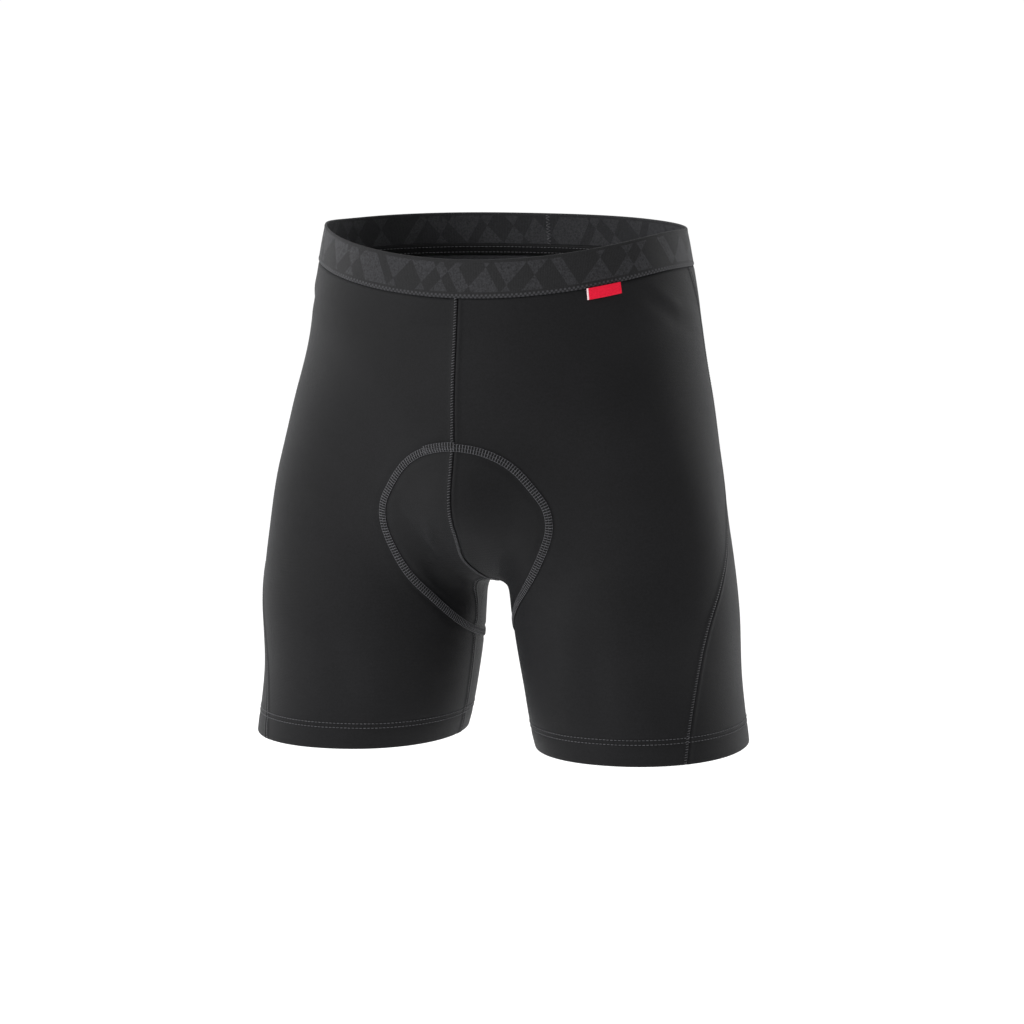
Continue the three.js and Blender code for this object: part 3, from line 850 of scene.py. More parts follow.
def elastic_material(name, ground, block, edge):
    """Woven elastic: dense ribs, stippled blocks where two slanted sets differ, and a paler lower edge."""
    material, tree, shader = new_material(name, 0.6, 0.08, 0.35, "dfe2e8", 0.2)
    u, v = uv_metres(tree)
    ribs = wave(tree, u, 0.0014)
    picks = wave(tree, v, 0.0011)
    sets = []
    for slant, period, stops in BLOCKS:
        slanted = add(tree, "Math", {0: v, 1: slant, 2: u}, operation="MULTIPLY_ADD")
        turns = add(tree, "Math", {0: slanted, 1: period}, operation="DIVIDE")
        place = add(tree, "Math", {0: turns}, operation="FRACT")
        shades = [(stop, "ffffff" if k % 2 else "000000") for k, stop in enumerate(stops)]
        sets.append(add(tree, "ValToRGB", {"Fac": place}, shades, "CONSTANT"))
    apart = add(tree, "Math", {0: sets[0], 1: sets[1]}, operation="SUBTRACT")
    either = add(tree, "Math", {0: apart}, operation="ABSOLUTE")
    low, high = BLOCKS_BETWEEN
    above = add(tree, "Math", {0: v, 1: low}, operation="GREATER_THAN")
    below = add(tree, "Math", {0: v, 1: high}, operation="LESS_THAN")
    inside = add(tree, "Math", {0: above, 1: below}, operation="MULTIPLY")
    grains, fleck = patches(tree, (640, 3, 0.7), (900, 3, 0.7))
    stipple = add(tree, "MapRange", {"Value": grains, "From Min": 0.34, "From Max": 0.62})
    solid = add(tree, "Math", {0: either, 1: inside}, operation="MULTIPLY")
    jacquard = add(tree, "Math", {0: solid, 1: stipple}, operation="MULTIPLY")
    edge_row = add(tree, "Math", {0: v, 1: PICOT_BELOW}, operation="LESS_THAN")
    checks = add(tree, "Math", {0: wave(tree, u, 0.0036), 1: wave(tree, v, 0.0034)}, operation="MULTIPLY")
    dots = add(tree, "Math", {0: checks, 1: 0.05}, operation="GREATER_THAN")
    picot = add(tree, "Math", {0: edge_row, 1: dots}, operation="MULTIPLY")
    flecked = add(tree, "Math", {0: ribs, 1: 0.12, 2: fleck}, operation="MULTIPLY_ADD")
    base = add(tree, "ValToRGB", {"Fac": flecked}, ((0.35, ground[0]), (0.7, ground[1])))
    links = {"Factor": jacquard, "A": base, "B": linear(block)}
    blocked = add(tree, "Mix", links, data_type="RGBA").outputs["Result"]
    links = {"Factor": picot, "A": blocked, "B": linear(edge)}
    edged = add(tree, "Mix", links, data_type="RGBA").outputs["Result"]
    crossed = add(tree, "Math", {0: ribs, 1: picks}, operation="MULTIPLY")
    surface(tree, shader, edged, weighted(tree, (crossed, None), (jacquard, 0.8)), 0.5, 0.0003)
    rough = add(tree, "Math", {0: jacquard, 1: -0.06, 2: 0.64}, operation="MULTIPLY_ADD")
    tree.links.new(rough.outputs[0], shader.inputs["Roughness"])
    return material


def thread_material(name, colour, lighter):
    """Twisted sewing thread: a thin ply twist that catches light along its crown."""
    material, tree, shader = new_material(name, 0.5, 0.1, 0.4, "ffffff", 0.3)
    (twist,) = patches(tree, (2600, 1, 0.5))
    shade = add(tree, "ValToRGB", {"Fac": twist}, ((0.35, colour), (0.7, lighter)))
    surface(tree, shader, shade.outputs["Color"], twist, 0.4, 0.0001)
    return material


def foam_material(name, dark, light, pressed_and_shaded):
    """Brushed microfibre over foam: a napped, slightly patchy green, darker in its moulded grooves, between
    the finger rolls and along its rim, as painted shade.
    """
    material, tree, shader = new_material(name, 0.8, 0.3, 0.5, "d8f0b8", 0.2)
    nap, patch = patches(tree, (1300, 4, 0.7), (38, 3, 0.5))
    tone = weighted(tree, (nap, 0.5), (patch, 0.5))
    brushed = add(tree, "ValToRGB", {"Fac": tone}, ((0.34, dark), (0.66, light)))
    # This mask darkens the cover as painted shade: in the grooves, between the finger rolls and along the
    # rim.
    share = add(tree, "Attribute", attribute_name="pressed_and_shaded").outputs["Fac"]
    links = {"Factor": share, "A": brushed, "B": linear(pressed_and_shaded)}
    surface(tree, shader, add(tree, "Mix", links, data_type="RGBA").outputs["Result"], nap, 0.35, 0.0004)
    return material


def tape_material(name, colour, pale):
    """Woven satin tape: fine cross ribs and a paler cut selvedge at one end."""
    material, tree, shader = new_material(name, 0.6, 0.0, 0.3, "ffffff", 0.12)
    u, v = uv_metres(tree)
    weave = add(tree, "Math", {0: wave(tree, u, 0.0006), 1: wave(tree, v, 0.0005)}, operation="MULTIPLY")
    (fleck,) = patches(tree, (1800, 2, 0.5))
    tone = add(tree, "Math", {0: weave, 1: 0.12, 2: fleck}, operation="MULTIPLY_ADD")
    base = add(tree, "ValToRGB", {"Fac": tone}, ((0.3, colour[0]), (0.7, colour[1])))
    selvedge = add(tree, "Math", {0: u, 1: 0.0011}, operation="LESS_THAN")
    links = {"Factor": selvedge, "A": base, "B": rgba(pale)}
    surface(tree, shader, add(tree, "Mix", links, data_type="RGBA").outputs["Result"], weave, 0.4, 0.0002)
    return material


def plain_material(name, colour):
    """Matt studio paper with a faint grain."""
    material, tree, shader = new_material(name, 0.9, specular=0.1)
    (grain,) = patches(tree, (60, 2, 0.5))
    shade = add(tree, "ValToRGB", {"Fac": grain}, ((0.3, colour[0]), (0.7, colour[1])))
    tree.links.new(shade.outputs["Color"], shader.inputs["Base Color"])
    return material


# ---- Settings -------------------------------------------------------------------------------


def length(name, description, default):
    """A length in metres, with its default in millimetres."""
    return FloatProperty(
        name=name, description=description, default=default * MM, min=0, unit="LENGTH", precision=5
    )


def colour(name, description, default):
    """A colour, from an sRGB hex."""
    return FloatVectorProperty(
        name=name, description=description, default=rgba(default), size=4, min=0, max=1, subtype="COLOR"
    )


class ClothSettings(PropertyGroup):
    """Jersey panels and their sewing."""

    thickness: length("Cloth thickness", "Thickness of the jersey", 1.2)
    hem_thickness: length("Hem thickness", "Thickness of the turned hem", 2.2)
    stitch_pitch: length("Stitch pitch", "Distance between the rungs of a flat seam", 2.4)
    lap_pitch: length("Lapped seam pitch", "Distance between the stitches over a lapped seam", 2.2)
    hem_pitch: length("Hem pitch", "Length of one stitch of the hem's rows", 3.3)
    thread: length("Thread radius", "Half the thickness of the sewing thread", 0.28)
    columns: IntProperty(name="Columns", description="Columns of a panel", default=150, min=40, max=300)
    dark: colour("Cloth dark", "Darker filaments of the jersey", "0e0e0f")
    light: colour("Cloth light", "Lighter filaments of the jersey", "1d1d1f")
    # The jersey's back is coloured paler than its face: partly the back's own paler look, partly painted
    # light that stands in for light reaching inside the waist.
    inside_dark: colour("Inside dark", "Darker filaments of the jersey's back", "2a2a2c")
    inside_light: colour("Inside light", "Lighter filaments of the jersey's back", "4c4c50")
    thread_dark: colour("Thread dark", "Sewing thread in the shade of its twist", "3a3a3d")
    thread_light: colour("Thread light", "Sewing thread on the crown of its twist", "6c6c70")
    label: colour("Label", "The woven label", "d80e2c")
    label_light: colour("Label light", "Lighter yarns of the woven label", "ff2244")


class BandSettings(PropertyGroup):
    """The elastic waistband."""

    thickness: length("Band thickness", "Thickness of the woven elastic", 1.8)
    columns: IntProperty(name="Columns", description="Columns round the band", default=720, min=120, max=1200)
    ground: colour("Ground dark", "Darker yarns of the elastic's ground", "151516")
    ground_light: colour("Ground light", "Lighter yarns of the elastic's ground", "232325")
    block: colour("Blocks", "The tonal jacquard blocks", "313134")
    # The elastic's back keeps the jacquard's own swapped pattern; its paler yarns are partly painted light,
    # standing in for light inside the waist.
    inside_block: colour("Inside blocks", "The tonal blocks on the elastic's back", "3b3b3e")
    edge: colour("Lower edge", "The picot along the lower edge", "3c3c3f")


class PadSettings(PropertyGroup):
    """The moulded pad."""

    groove: length("Groove depth", "Depth of the grooves round the lobes", 2.4)
    spacing: length("Groove spacing", "Distance between the grooves round the lobes", 6.5)
    rows: IntProperty(name="Rows", description="Rows along the pad", default=250, min=60, max=400)
    dark: colour("Foam cover dark", "The brushed cover in its hollows", "78c845")
    light: colour("Foam cover light", "The brushed cover on its crowns", "b8ec78")
    # The darker cover colour is painted shade in the grooves, between the finger rolls and along the rim.
    pressed_and_shaded: colour("Foam cover pressed", "The brushed cover in its pressed grooves", "3a7c24")
    backing: colour("Backing dark", "The pad's knitted backing", "1f1f21")
    backing_light: colour("Backing light", "Lighter filaments of the backing", "3c3c3f")


class StageSettings(PropertyGroup):
    """Floor, light and camera."""

    drop: length("Floor distance", "Distance of the floor below the hem", 260)
    world: FloatProperty(name="Backdrop", description="Brightness of what is behind", default=1.02, min=0)
    front: FloatProperty(name="Front", description="Brightness of what is in front", default=0.6, min=0)
    floor: FloatProperty(name="Floor glow", description="Glow of the white floor", default=0.42, min=0)
    key: FloatProperty(name="Key light", description="Watts of the soft key light", default=40, min=0)
    rim: FloatProperty(name="Rim lights", description="Watts of which each takes a share", default=9, min=0)


def settings():
    """The scene's settings, by group."""
    scene = bpy.context.scene
    return scene.shorts_cloth, scene.shorts_band, scene.shorts_pad, scene.shorts_stage


def dress(obj, materials, slot, *nodes):
    """Gives a piece its materials and the root body, and hides the CAD nodes that it stands for; slot is not
    used.
    """
    for material in materials:
        obj.data.materials.append(material)
    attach(obj, "root")
    if nodes:
        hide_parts(*nodes)
    return obj


# ---- Pieces ---------------------------------------------------------------------------------

# A panel's cut edge: the round of its hem, the roll beside a seam as (place, half width, height),
# the drop at the edge itself, and the tuck under the band.
HEM_ROUND = 1.6
EDGE_ROLL = (2.6, 1.9, 0.45)
EDGE_DROP = 0.75
BAND_TUCK = 0.4

# The band: how far it stands off, its ripple and slow wave, and the lip and round of its edges.
BAND_LIFT = 0.3
BAND_RIPPLE = 0.08
BAND_WAVE = 0.25
BAND_LIP = 0.25
BAND_ROUND = 1.1

# The grooves round each rear lobe run beside a line from start to end, given along and across the
# pad, whose reach widens between the two radii. The veins cross them; a finger roll is in front.
GROOVE_START = np.array([18.0, 12.0])
GROOVE_END = np.array([134.0, 45.0])
GROOVE_RADII = (7.0, 34.0)
GROOVE_WIDTH = 1.5
VEINS = (-14, 8, 30, 52, 74)
VEIN_WIDTH = 1.7
ROLL_ACROSS = 10.5
ROLL_WIDTH = 6.5
ROLL_HEIGHT = 2.4
ROLL_STARTS = (-118, -104)
LEAST_FOAM = 1.2

LABEL_ANGLE = 54
LABEL_WIDTH = 27
LABEL_HEIGHT = 9
LABEL_RADIUS = 138
LABEL_COLUMNS = 33

# Spacing of the points along a ridge, the sideways place of a lapped seam, and the rows by which
# the leg's seams stop short of the hem's edge.
RIDGE_SPACING = 1.2
LAP_SHIFT = 1.5
HEM_ROWS_FREE = 4

HIP_HEIGHTS = mix(CROTCH[2], PANEL_TOP, np.linspace(1, 0, 112) ** 1.3)
LEG_HEIGHTS = mix(CROTCH[2], HEM_TOP, np.linspace(0, 1, 60)[1:] ** 1.2)
HEM_HEIGHTS = np.linspace(HEM_TOP - 1.2, HEM_Z + HEM_ROUND, 16)
HEM_HEIGHTS = np.append(HEM_HEIGHTS, HEM_Z + np.array([1, 0.5, 0.2, 0]))
HEIGHTS = np.concatenate([HIP_HEIGHTS, LEG_HEIGHTS, HEM_HEIGHTS])
FRONT_ROWS, BACK_ROWS = side_rows(HEIGHTS, 240)
HIP_COUNT = len(HIP_HEIGHTS)
MIRROR = np.array([-1.0, 1.0, 1.0])
SEAMS = {
    "front": FRONT_ROWS[:HIP_COUNT, 0],
    "back": BACK_ROWS[:HIP_COUNT, -1],
    "side": FRONT_ROWS[:, -1],
    "inner": FRONT_ROWS[HIP_COUNT - 1 :, 0],
}


def edge_pull(past, reach, thickness):
    """How far each face is drawn in at a cut edge: h (1 - sqrt(1 - q q)), with q from 0 to 1 there."""
    q = np.clip(past / reach, 0, 1)
    return thickness / 2 * (1 - np.sqrt(1 - q * q))


def panel_grids(rows, columns, side, cloth):
    """Outer and inner points of one panel and its UV in metres, from rows that start at the side seam."""
    even = np.linspace(0, 1, columns)
    crowded = even - 0.12 * np.sin(2 * math.pi * even)
    total = lengths_along(rows)[:, -1]
    spread = bell(HEIGHTS[:, None] - HEIGHTS, 30)
    steady = spread @ total / spread.sum(1)
    width = mix(steady[:, None], total[:, None], smooth_step(crowded, 0.3, 1))
    at = SEAM_GAP / 2 + crowded * (width - SEAM_GAP)
    outer = np.stack([resample(row, place) for row, place in zip(rows, at)])
    outer = sway(outer * MIRROR if side < 0 else outer)
    normals = form_normal(outer)
    edge = np.minimum(at, total[:, None] - at)
    place, reach, lift = EDGE_ROLL
    roll = lift * bell(edge - place, reach) - EDGE_DROP * bell(edge, 1.0)
    tuck = BAND_TUCK * smooth_step(HEIGHTS, -19, PANEL_TOP)[:, None]
    height = relief(outer, normals) + roll - tuck
    hem = smooth_step(-HEIGHTS, -HEM_TOP - 1, -HEM_TOP + 1)
    thickness = mix(cloth.thickness, cloth.hem_thickness, hem)[:, None] / MM
    pull = edge_pull(HEM_Z + HEM_ROUND - HEIGHTS, HEM_ROUND, 1.0)[:, None] * thickness
    uv = np.stack([at, np.broadcast_to(HEIGHTS[:, None], at.shape) - HEM_Z], -1) * MM
    outside = outer + normals * (height - pull)[..., None]
    inside = outer + normals * (height - thickness + pull)[..., None]
    return outside, inside, uv


class SHORTS_OT_panels(Operator):
    """Build the four jersey panels"""

    bl_idname = "shorts.panels"
    bl_label = "Jersey panels"

    def execute(self, context):
        cloth = settings()[0]
        face = jersey_material("stretch_jersey", cloth.dark, cloth.light, 0.45)
        # The inside's paler colours are partly painted light, standing in for light inside the waist.
        lining = jersey_material("jersey_inside", cloth.inside_dark, cloth.inside_light, 0.6)
        for part, rows in (("front", FRONT_ROWS[:, ::-1]), ("back", BACK_ROWS)):
            for side, word in ((1, "left"), (-1, "right")):
                outside, inside, uv = panel_grids(rows, cloth.columns, side, cloth)
                node = f"{part}_{word}"
                panel = make_wall(f"jersey_{node}", outside, inside, uv)
                dress(panel, (face, lining), "jersey", node)
        return {"FINISHED"}


class SHORTS_OT_waistband(Operator):
    """Build the woven elastic waistband"""

    bl_idname = "shorts.waistband"
    bl_label = "Waistband"

    def execute(self, context):
        _, band, _, _ = settings()
        half = BAND_HALF_HEIGHT
        steps = np.array([0, 0.25, 0.6, BAND_ROUND])
        heights = np.concatenate([half - steps, np.linspace(half - 2, 2 - half, 30), steps[::-1] - half])
        angles = np.linspace(0, 2 * math.pi, band.columns, endpoint=False)
        axis = np.stack([0 * heights, 0 * heights, heights], -1)
        outer = cast_lifted(axis[:, None], heading(angles)[None], 1.0)
        normals = form_normal(outer)
        thickness = band.thickness / MM
        low = smooth_step(-heights, -4, half)[:, None]
        ripple = BAND_RIPPLE * low * np.sin(41 * angles + 2 * np.sin(3 * angles))
        ripple = ripple + BAND_WAVE * np.sin(5 * angles + 1)
        lip = BAND_LIP * bell(np.abs(heights) - half + 1.8, 1.2)[:, None]
        pull = edge_pull(np.abs(heights) - half + BAND_ROUND, BAND_ROUND, thickness)[:, None]
        height = BAND_LIFT + ripple + lip
        outside = outer + normals * (height - pull)[..., None]
        inside = outer + normals * (height - thickness - lip + pull)[..., None]
        around = np.concatenate([outer, outer[:, :1]], 1)
        along = np.broadcast_to(lengths_along(around)[len(heights) // 2], (len(heights), len(angles) + 1))
        uv = np.stack([along, np.broadcast_to((heights + half)[:, None], along.shape)], -1) * MM
        face = elastic_material("woven_elastic", (band.ground, band.ground_light), band.block, band.edge)
        # The back takes the paler ground and paler blocks: the swapped pattern is the elastic's own, and the
        # paleness is partly painted light for the inside of the waist.
        back = (band.ground_light, band.block)
        inner = elastic_material("woven_elastic_inside", back, band.inside_block, band.edge)
        ring = make_wall("waist_elastic", outside, inside, uv, ring=True)
        dress(ring, (face, inner), "waist_elastic", "waistband")
        return {"FINISHED"}


def pad_height(along, across, half_width, cap, pad):
    """Foam height above the pad's backing, with lobes, channel, rolls and grooves, and a mask of the grooves
    that also darkens the colour there, between the rolls and at the rim, as painted shade.
    """
    share = np.abs(across) / half_width[:, None]
    a = np.broadcast_to(along[:, None], across.shape)
    b = np.abs(across)
    foam = table_at(PAD_OUTLINE, along)["foam"][:, None]
    crown = np.sqrt(np.maximum(1 - np.clip(share, 0, 1) ** 2, 0)) * cap[:, None]
    lobe = bell(share - LOBE_ACROSS, LOBE_SPREAD)
    channel = 1 - 0.5 * bell(share, CHANNEL_SPREAD)
    low = mix(1, 0.6 + 0.5 * lobe, smooth_step(a, *LOBE_ALONG))
    height = PAD_EDGE + (foam - PAD_EDGE) * crown * channel * low
    start = GROOVE_START
    way = GROOVE_END - start
    t = np.clip(((a - start[0]) * way[0] + (b - start[1]) * way[1]) / (way @ way), 0, 1)
    ring = np.hypot(a - start[0] - t * way[0], b - start[1] - t * way[1]) - mix(*GROOVE_RADII, t)
    spacing = pad.spacing / MM
    grooves = sum(bell(ring + k * spacing, GROOVE_WIDTH) for k in (0, 1, 2))
    veins = sum(bell(a - 0.85 * b - place + 0.006 * b * b, VEIN_WIDTH) for place in VEINS)
    veins *= smooth_step(-ring, -9, -2) * smooth_step(b, 3, 8) * smooth_step(-b, -34, -24)
    pressed_and_shaded = np.clip(grooves + 0.8 * veins, 0, 1) * smooth_step(crown, 0.15, 0.5)
    height -= pad.groove / MM * pressed_and_shaded
    roll = bell(b - ROLL_ACROSS, ROLL_WIDTH) * smooth_step(a, *ROLL_STARTS) * smooth_step(-a, 4, 20)
    height += ROLL_HEIGHT * roll
    # Painted shade: the valley between the finger rolls and the foam's rim are darkened along with the
    # grooves.
    between = bell(b, 4.5) * smooth_step(a, *ROLL_STARTS) + 0.7 * bell(share - 1, 0.12)
    return np.maximum(height, LEAST_FOAM), np.clip(pressed_and_shaded + 0.6 * between, 0, 1)


class SHORTS_OT_pad(Operator):
    """Build the moulded pad inside the crotch"""

    bl_idname = "shorts.pad"
    bl_label = "Moulded pad"

    def execute(self, context):
        pad = settings()[2]
        turn = (1 - np.cos(np.linspace(0, math.pi, pad.rows))) / 2
        along = mix(PAD_FRONT, PAD_REAR, mix(np.linspace(0, 1, pad.rows), turn, 0.6))
        half_width, cap = pad_half_width(along)
        columns = 2 * (pad.rows // 4)
        rows = pad_rows(along, half_width, columns)
        normals = form_normal(rows)
        across = np.linspace(-1, 1, columns + 1) * half_width[:, None]
        height, pressed_and_shaded = pad_height(along, across, half_width, cap, pad)
        sunk = np.maximum(-crease_height(rows, normals) - 1.4, 0)
        underside = rows - normals * (PAD_CLEARANCE + sunk)[..., None]
        body = underside - normals * height[..., None]
        uv = np.stack([across, np.broadcast_to(along[:, None], across.shape)], -1) * MM
        backing = jersey_material("pad_backing", pad.backing, pad.backing_light, 0.4)
        foam = foam_material("brushed_foam", pad.dark, pad.light, pad.pressed_and_shaded)
        piece = make_wall("moulded_pad", underside, body, uv)
        layer = piece.data.attributes.new("pressed_and_shaded", "FLOAT", "POINT")
        layer.data.foreach_set("value", np.concatenate([pressed_and_shaded, pressed_and_shaded]).astype(np.float32).ravel())
        dress(piece, (backing, foam), "pad_foam", "seat_pad")
        return {"FINISHED"}


class SHORTS_OT_label(Operator):
    """Build the folded woven label in the waistband's lower seam"""

    bl_idname = "shorts.label"
    bl_label = "Woven label"

    def execute(self, context):
        cloth = settings()[0]
        top, bottom, fold = PANEL_TOP + 0.4, PANEL_TOP - LABEL_HEIGHT, 0.5
        down = np.linspace(top, bottom + fold, 9)
        turn = np.linspace(0, math.pi, 9)[1:-1]
        heights = np.concatenate([down, bottom + fold - fold * np.sin(turn), down[::-1]])
        flare = 0.5 * smooth_step(-heights, -top, -bottom)
        lift = np.concatenate([0 * down + 0.9, 1.4 - fold * np.cos(turn), 0 * down + 1.9]) + flare
        path = np.stack([heights, lift], -1)
        way = unit(np.gradient(path, axis=0))
        aside = np.stack([way[:, 1], -way[:, 0]], -1)
        half = LABEL_WIDTH / 2
        turns = math.radians(LABEL_ANGLE) + np.linspace(-half, half, LABEL_COLUMNS) / LABEL_RADIUS
        grids = []
        for shift in (0.2, -0.2):
            place = path + aside * shift
            start = np.stack([0 * heights, 0 * heights, place[:, 0]], -1)
            base = cast_lifted(start[:, None], heading(turns)[None], 1.0)
            wave_out = 0.25 * np.sin(np.linspace(0, 5, LABEL_COLUMNS))
            wave_out = wave_out * smooth_step(-heights, -top, -bottom)[:, None]
            grids.append(base + form_normal(base) * (place[:, 1:] + wave_out)[..., None])
        u = np.broadcast_to(np.linspace(0, LABEL_WIDTH, LABEL_COLUMNS), grids[0].shape[:2])
        v = np.broadcast_to(lengths_along(path)[:, None], u.shape)
        tape = tape_material("woven_tape", (cloth.label, cloth.label_light), "f2d7da")
        label = make_wall("woven_label", grids[1], grids[0], np.stack([u, v], -1) * MM, materials=1)
        dress(label, (tape,), "label_tape", "label")
        return {"FINISHED"}


def thread_piece(name, pieces, materials, slot="jersey"):
    """One object of ridges (material 0) and threads (material 1)."""
    points, faces, kinds = joined(pieces)
    return dress(make_mesh(name, points, faces, None, kinds), materials, slot)


def narrow_seam(line, cloth, shift, height=0.6):
    """A lapped seam beside its line: a low ridge with short slanted stitches, and its allowance inside."""
    thread = cloth.thread / MM
    laid = cloth_line(line, cloth.lap_pitch / MM, shift=shift)
    fine = cloth_line(line, RIDGE_SPACING, shift=shift)
    allowance = cloth_line(line, 1.6, inside=True)
    parts = [(ridge(fine[0], fine[2], 1.7, height), 0)]
    parts.append((ridge(allowance[0] + allowance[2] * 0.3, allowance[2], 2.4, 1.0), 0))
    parts.append((rungs(laid, 1.3, thread, 0.14, height * 0.8, slant=0.45), 1))
    return parts


def flat_seam(line, cloth, closed=False, shift=0.0, height=0.7):
    """A flatlock seam: a wide low ridge, three rails of thread and two ladders of rungs between them."""
    pitch = cloth.stitch_pitch / MM
    thread = cloth.thread / MM
    laid = cloth_line(line, pitch, closed=closed, shift=shift)
    fine = cloth_line(line, RIDGE_SPACING, closed=closed, shift=shift)
    parts = [(ridge(fine[0], fine[2], FLATLOCK + 0.6, height, closed), 0)]
    for offset in (-0.5, 0.5):
        ladder = rungs(laid, FLATLOCK * 0.44, thread * 1.25, 0.12, height * 0.8, offset * FLATLOCK, 0.15)
        parts.append((ladder, 1))
    for offset in (-1.0, 0.0, 1.0):
        lift = height * (0.95 - 0.5 * abs(offset))
        parts.append((dashes(laid, pitch * 0.8, thread, 0.12, lift, offset * FLATLOCK), 1))
    return parts


class SHORTS_OT_sewing(Operator):
    """Sew the seams, the pad's outline, the hems and the waistband"""

    bl_idname = "shorts.sewing"
    bl_label = "Sewing"

    def execute(self, context):
        cloth = settings()[0]
        edge = jersey_material("seam_jersey", cloth.dark, cloth.light, 0.5)
        thread = thread_material("sewing_thread", cloth.thread_dark, cloth.thread_light)
        both = (edge, thread)
        thread_piece("seam_front", narrow_seam(sway(SEAMS["front"]), cloth, LAP_SHIFT), both)
        thread_piece("seam_back", narrow_seam(SEAMS["back"], cloth, LAP_SHIFT), both)
        for side, word in ((1, "left"), (-1, "right")):
            way = np.array([side, 1.0, 1.0])
            for name, turned in (("side", 1), ("inner", -1)):
                line = sway(SEAMS[name][:-HEM_ROWS_FREE] * way)
                parts = narrow_seam(line, cloth, LAP_SHIFT * side * turned)
                thread_piece(f"seam_{name}_{word}", parts, both)
            parts = []
            ring = np.concatenate([FRONT_ROWS[:, :-1], BACK_ROWS], 1) * way
            for height in HEM_ROWS:
                row = int(np.abs(HEIGHTS - height).argmin())
                laid = cloth_line(ring[row], cloth.hem_pitch / MM, closed=True)
                parts.append((dashes(laid, 2.3, cloth.thread / MM * 1.15, 0.25, 0.25), 1))
            thread_piece(f"hem_stitching_{word}", parts, both)
        rim = settle(PAD_RIM - PAD_OUTWARDS * FLATLOCK)
        rim = np.concatenate([rim, rim[:1]])
        parts = flat_seam(rim, cloth, closed=True)
        lapped = rim[(rim[:, 1] < 0) & (rim[:, 2] > -175) & (rim[:, 0] > -27) & (rim[:, 0] < 1)]
        lapped = lapped[np.argsort(lapped[:, 0])]
        parts += flat_seam(lapped, cloth, shift=-1.4, height=1.15)
        thread_piece("pad_stitching", parts, both)

        axis = np.array([0.0, 0.0, PANEL_TOP])
        turns = np.linspace(0, 2 * math.pi, 361)
        ring = cast_lifted(axis, heading(turns), 1.0)
        fine = cloth_line(ring, 2.0, inside=True, closed=True)
        laid = cloth_line(ring, cloth.hem_pitch / MM, inside=True, closed=True)
        parts = [(ridge(fine[0] + fine[2] * 0.4, fine[2], 5.5, 1.0, True), 0)]
        for offset in (-2.4, 2.4):
            parts.append((dashes(laid, 2.4, cloth.thread / MM, 0.2, 1.35, offset), 1))
        heights = np.linspace(BAND_HALF_HEIGHT - 1.5, 1.5 - BAND_HALF_HEIGHT, 12)
        axis = np.stack([0 * heights, 0 * heights, heights], -1)
        join = cast_lifted(axis, heading(math.pi), 1.0)
        for inside, lift in ((False, 0.75), (True, 0.35)):
            laid = cloth_line(join, 1.5, inside=inside)
            parts.append((zigzag(laid, 2.2, cloth.thread / MM, 0.12, lift), 1))
        thread_piece("waist_stitching", parts, both)
        return {"FINISHED"}


class SHORTS_OT_cut(Operator):
    """Looks up the sewn pieces of each side, and does nothing more with them"""

    bl_idname = "shorts.cut"
    bl_label = "Cut"

    def execute(self, context):
        pieces = bpy.data.objects
        for word in ("left", "right"):
            own = [pieces[f"seam_inner_{word}"], pieces[f"hem_stitching_{word}"]]
            if word == "left":
                own += [pieces["seam_front"], pieces["pad_stitching"]]
            own = [pieces[f"seam_side_{word}"]]
            if word == "left":
                own.append(pieces["seam_back"])
        return {"FINISHED"}


# ---- Stage ----------------------------------------------------------------------------------

TARGET = Vector((0, 0, -0.190))
AZIMUTH = math.radians(19.03)
ELEVATION = math.radians(8.76)
ROLL = math.radians(-0.485)
DISTANCE = 4.35
LENS = 180.1
SHIFT = (0.0066, -0.0396)
FLOOR_REACH = 4000
FLOOR_POINTS = 9

# Each light's azimuth, elevation, distance, size, and its setting with the share of it that it takes.
LIGHTS = {
    "key": (-52, 30, 2.4, (1.1, 1.5), "key", 1),
    "rim_left": (-110, 14, 1.7, (0.4, 1.4), "rim", 0.5),
    "rim_right": (142, 12, 1.7, (0.25, 1.5), "rim", 0.6),
}


def view_axes(azimuth, elevation):
    """Right, up and back of a view from an azimuth, round from the front to +X, and an elevation."""
    level = math.cos(elevation)
    back = Vector((math.sin(azimuth) * level, -math.cos(azimuth) * level, math.sin(elevation)))
    right = Vector((math.cos(azimuth), math.sin(azimuth), 0))
    return right, back.cross(right), back


def add_light(name, azimuth, elevation, distance, size, power):
    """A soft oblong light that faces the target, at angles in degrees and a distance in metres."""
    light = bpy.data.lights.new(name, "AREA")
    light.shape = "RECTANGLE"
    light.size, light.size_y = size
    light.energy = power
    obj = bpy.data.objects.new(name, light)
    right, up, back = view_axes(math.radians(azimuth), math.radians(elevation))
    turned = Matrix((right, up, back)).transposed().to_4x4()
    obj.matrix_world = Matrix.Translation(TARGET + back * distance) @ turned
    bpy.context.scene.collection.objects.link(obj)


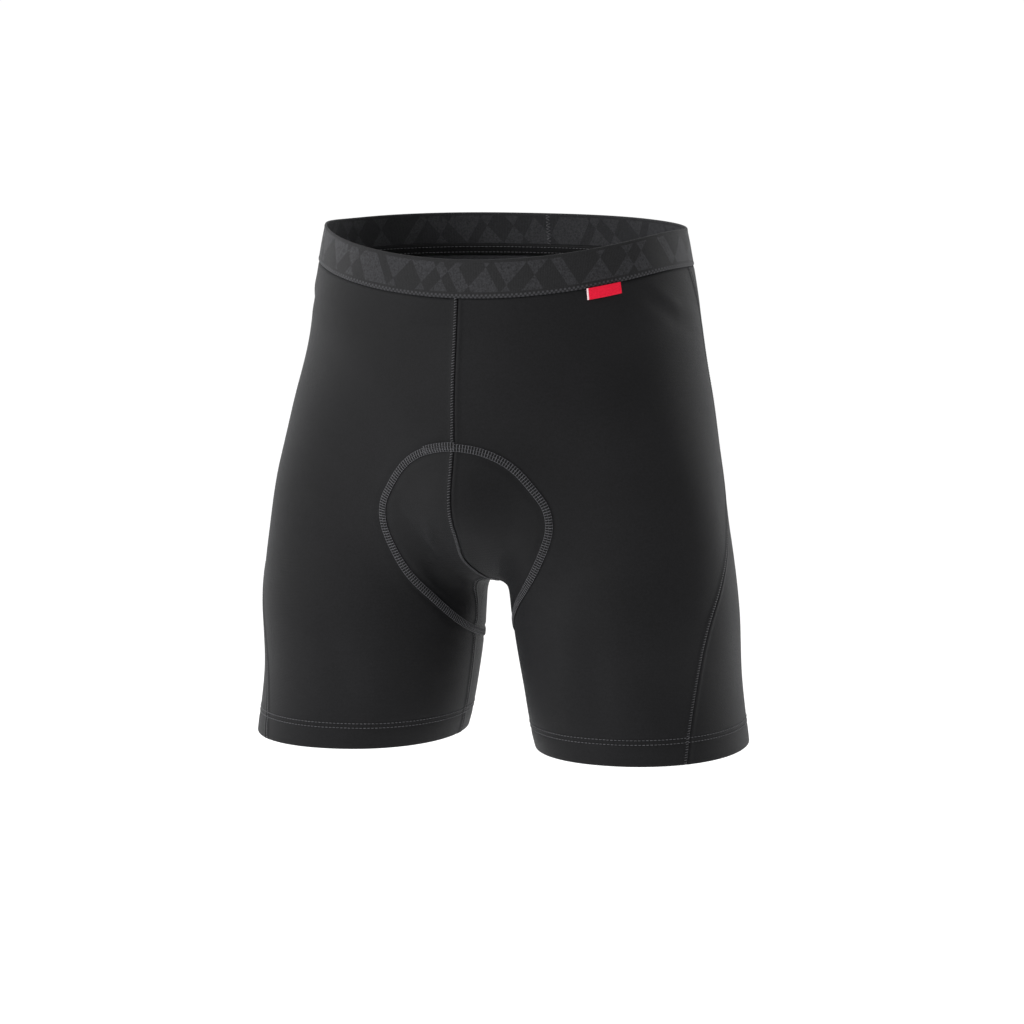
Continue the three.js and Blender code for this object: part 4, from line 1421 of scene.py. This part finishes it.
class SHORTS_OT_stage(Operator):
    """Set the floor, the pale surroundings, the lights and the camera"""

    bl_idname = "shorts.stage"
    bl_label = "Stage"

    def execute(self, context):
        stage = settings()[3]
        scene = context.scene
        floor_z = HEM_Z - stage.drop / MM
        steps = np.linspace(-FLOOR_REACH, FLOOR_REACH, FLOOR_POINTS)
        x, y = np.meshgrid(steps, steps, indexing="ij")
        points = np.stack([x, y, np.full(x.shape, floor_z)], -1).reshape(-1, 3)
        r, c = grid_corners(FLOOR_POINTS, FLOOR_POINTS)
        floor = make_mesh("studio_floor", points, r * FLOOR_POINTS + c)
        paper = plain_material("studio_paper", ("e6e6e6", "ececec"))
        glow = paper.node_tree.nodes["Principled BSDF"].inputs
        glow["Emission Color"].default_value = (1, 1, 1, 1)
        glow["Emission Strength"].default_value = stage.floor
        floor.data.materials.append(paper)
        world = bpy.data.worlds.new("studio")
        world.use_nodes = True
        tree = world.node_tree
        behind = view_axes(AZIMUTH, ELEVATION)[2] * -1
        way = add(tree, "TexCoord").outputs["Generated"]
        facing = add(tree, "VectorMath", {0: way, 1: tuple(behind)}, operation="DOT_PRODUCT").outputs["Value"]
        span = {"From Min": -0.3, "From Max": 0.9, "To Min": stage.front, "To Max": stage.world}
        light = add(tree, "MapRange", {"Value": facing, **span})
        tree.nodes["Background"].inputs["Color"].default_value = (1, 1, 1, 1)
        tree.links.new(light.outputs[0], tree.nodes["Background"].inputs["Strength"])
        scene.world = world
        scene.view_settings.view_transform = "Standard"
        for name, (azimuth, elevation, distance, size, setting, share) in LIGHTS.items():
            add_light(name, azimuth, elevation, distance, size, getattr(stage, setting) * share)
        camera = bpy.data.cameras.new("camera")
        camera.lens = LENS
        camera.sensor_width = 36
        camera.shift_x, camera.shift_y = SHIFT
        camera.clip_end = 60
        obj = bpy.data.objects.new("camera", camera)
        right, up, back = view_axes(AZIMUTH, ELEVATION)
        turned_right = right * math.cos(ROLL) + up * math.sin(ROLL)
        turned_up = up * math.cos(ROLL) - right * math.sin(ROLL)
        turned = Matrix((turned_right, turned_up, back)).transposed().to_4x4()
        obj.matrix_world = Matrix.Translation(TARGET + back * DISTANCE) @ turned
        scene.collection.objects.link(obj)
        scene.camera = obj
        return {"FINISHED"}


STEPS = (
    SHORTS_OT_panels,
    SHORTS_OT_waistband,
    SHORTS_OT_pad,
    SHORTS_OT_label,
    SHORTS_OT_sewing,
    SHORTS_OT_cut,
    SHORTS_OT_stage,
)


class SHORTS_PT_panel(Panel):
    """Lists the pieces and their settings"""

    bl_idname = "SHORTS_PT_panel"
    bl_label = "Cycling undershorts"
    bl_space_type = "VIEW_3D"
    bl_region_type = "UI"
    bl_category = "Undershorts"

    def draw(self, context):
        for step in STEPS:
            self.layout.operator(step.bl_idname)
        for group in settings():
            box = self.layout.box()
            for name in group.__annotations__:
                box.prop(group, name)


GROUPS = (
    ("shorts_cloth", ClothSettings),
    ("shorts_band", BandSettings),
    ("shorts_pad", PadSettings),
    ("shorts_stage", StageSettings),
)


def register():
    """Registers the settings, the operators and the sidebar panel."""
    for name, group in GROUPS:
        bpy.utils.register_class(group)
        setattr(bpy.types.Scene, name, PointerProperty(type=group))
    for step in (*STEPS, SHORTS_PT_panel):
        bpy.utils.register_class(step)


def unregister():
    """Takes them away again."""
    for step in (SHORTS_PT_panel, *reversed(STEPS)):
        bpy.utils.unregister_class(step)
    for name, group in reversed(GROUPS):
        delattr(bpy.types.Scene, name)
        bpy.utils.unregister_class(group)


def main():
    """Builds every piece in order."""
    register()
    bpy.ops.shorts.panels()
    bpy.ops.shorts.waistband()
    bpy.ops.shorts.pad()
    bpy.ops.shorts.label()
    bpy.ops.shorts.sewing()
    bpy.ops.shorts.cut()
    bpy.ops.shorts.stage()
    bpy.context.view_layer.update()


if __name__ == "__main__":
    main()
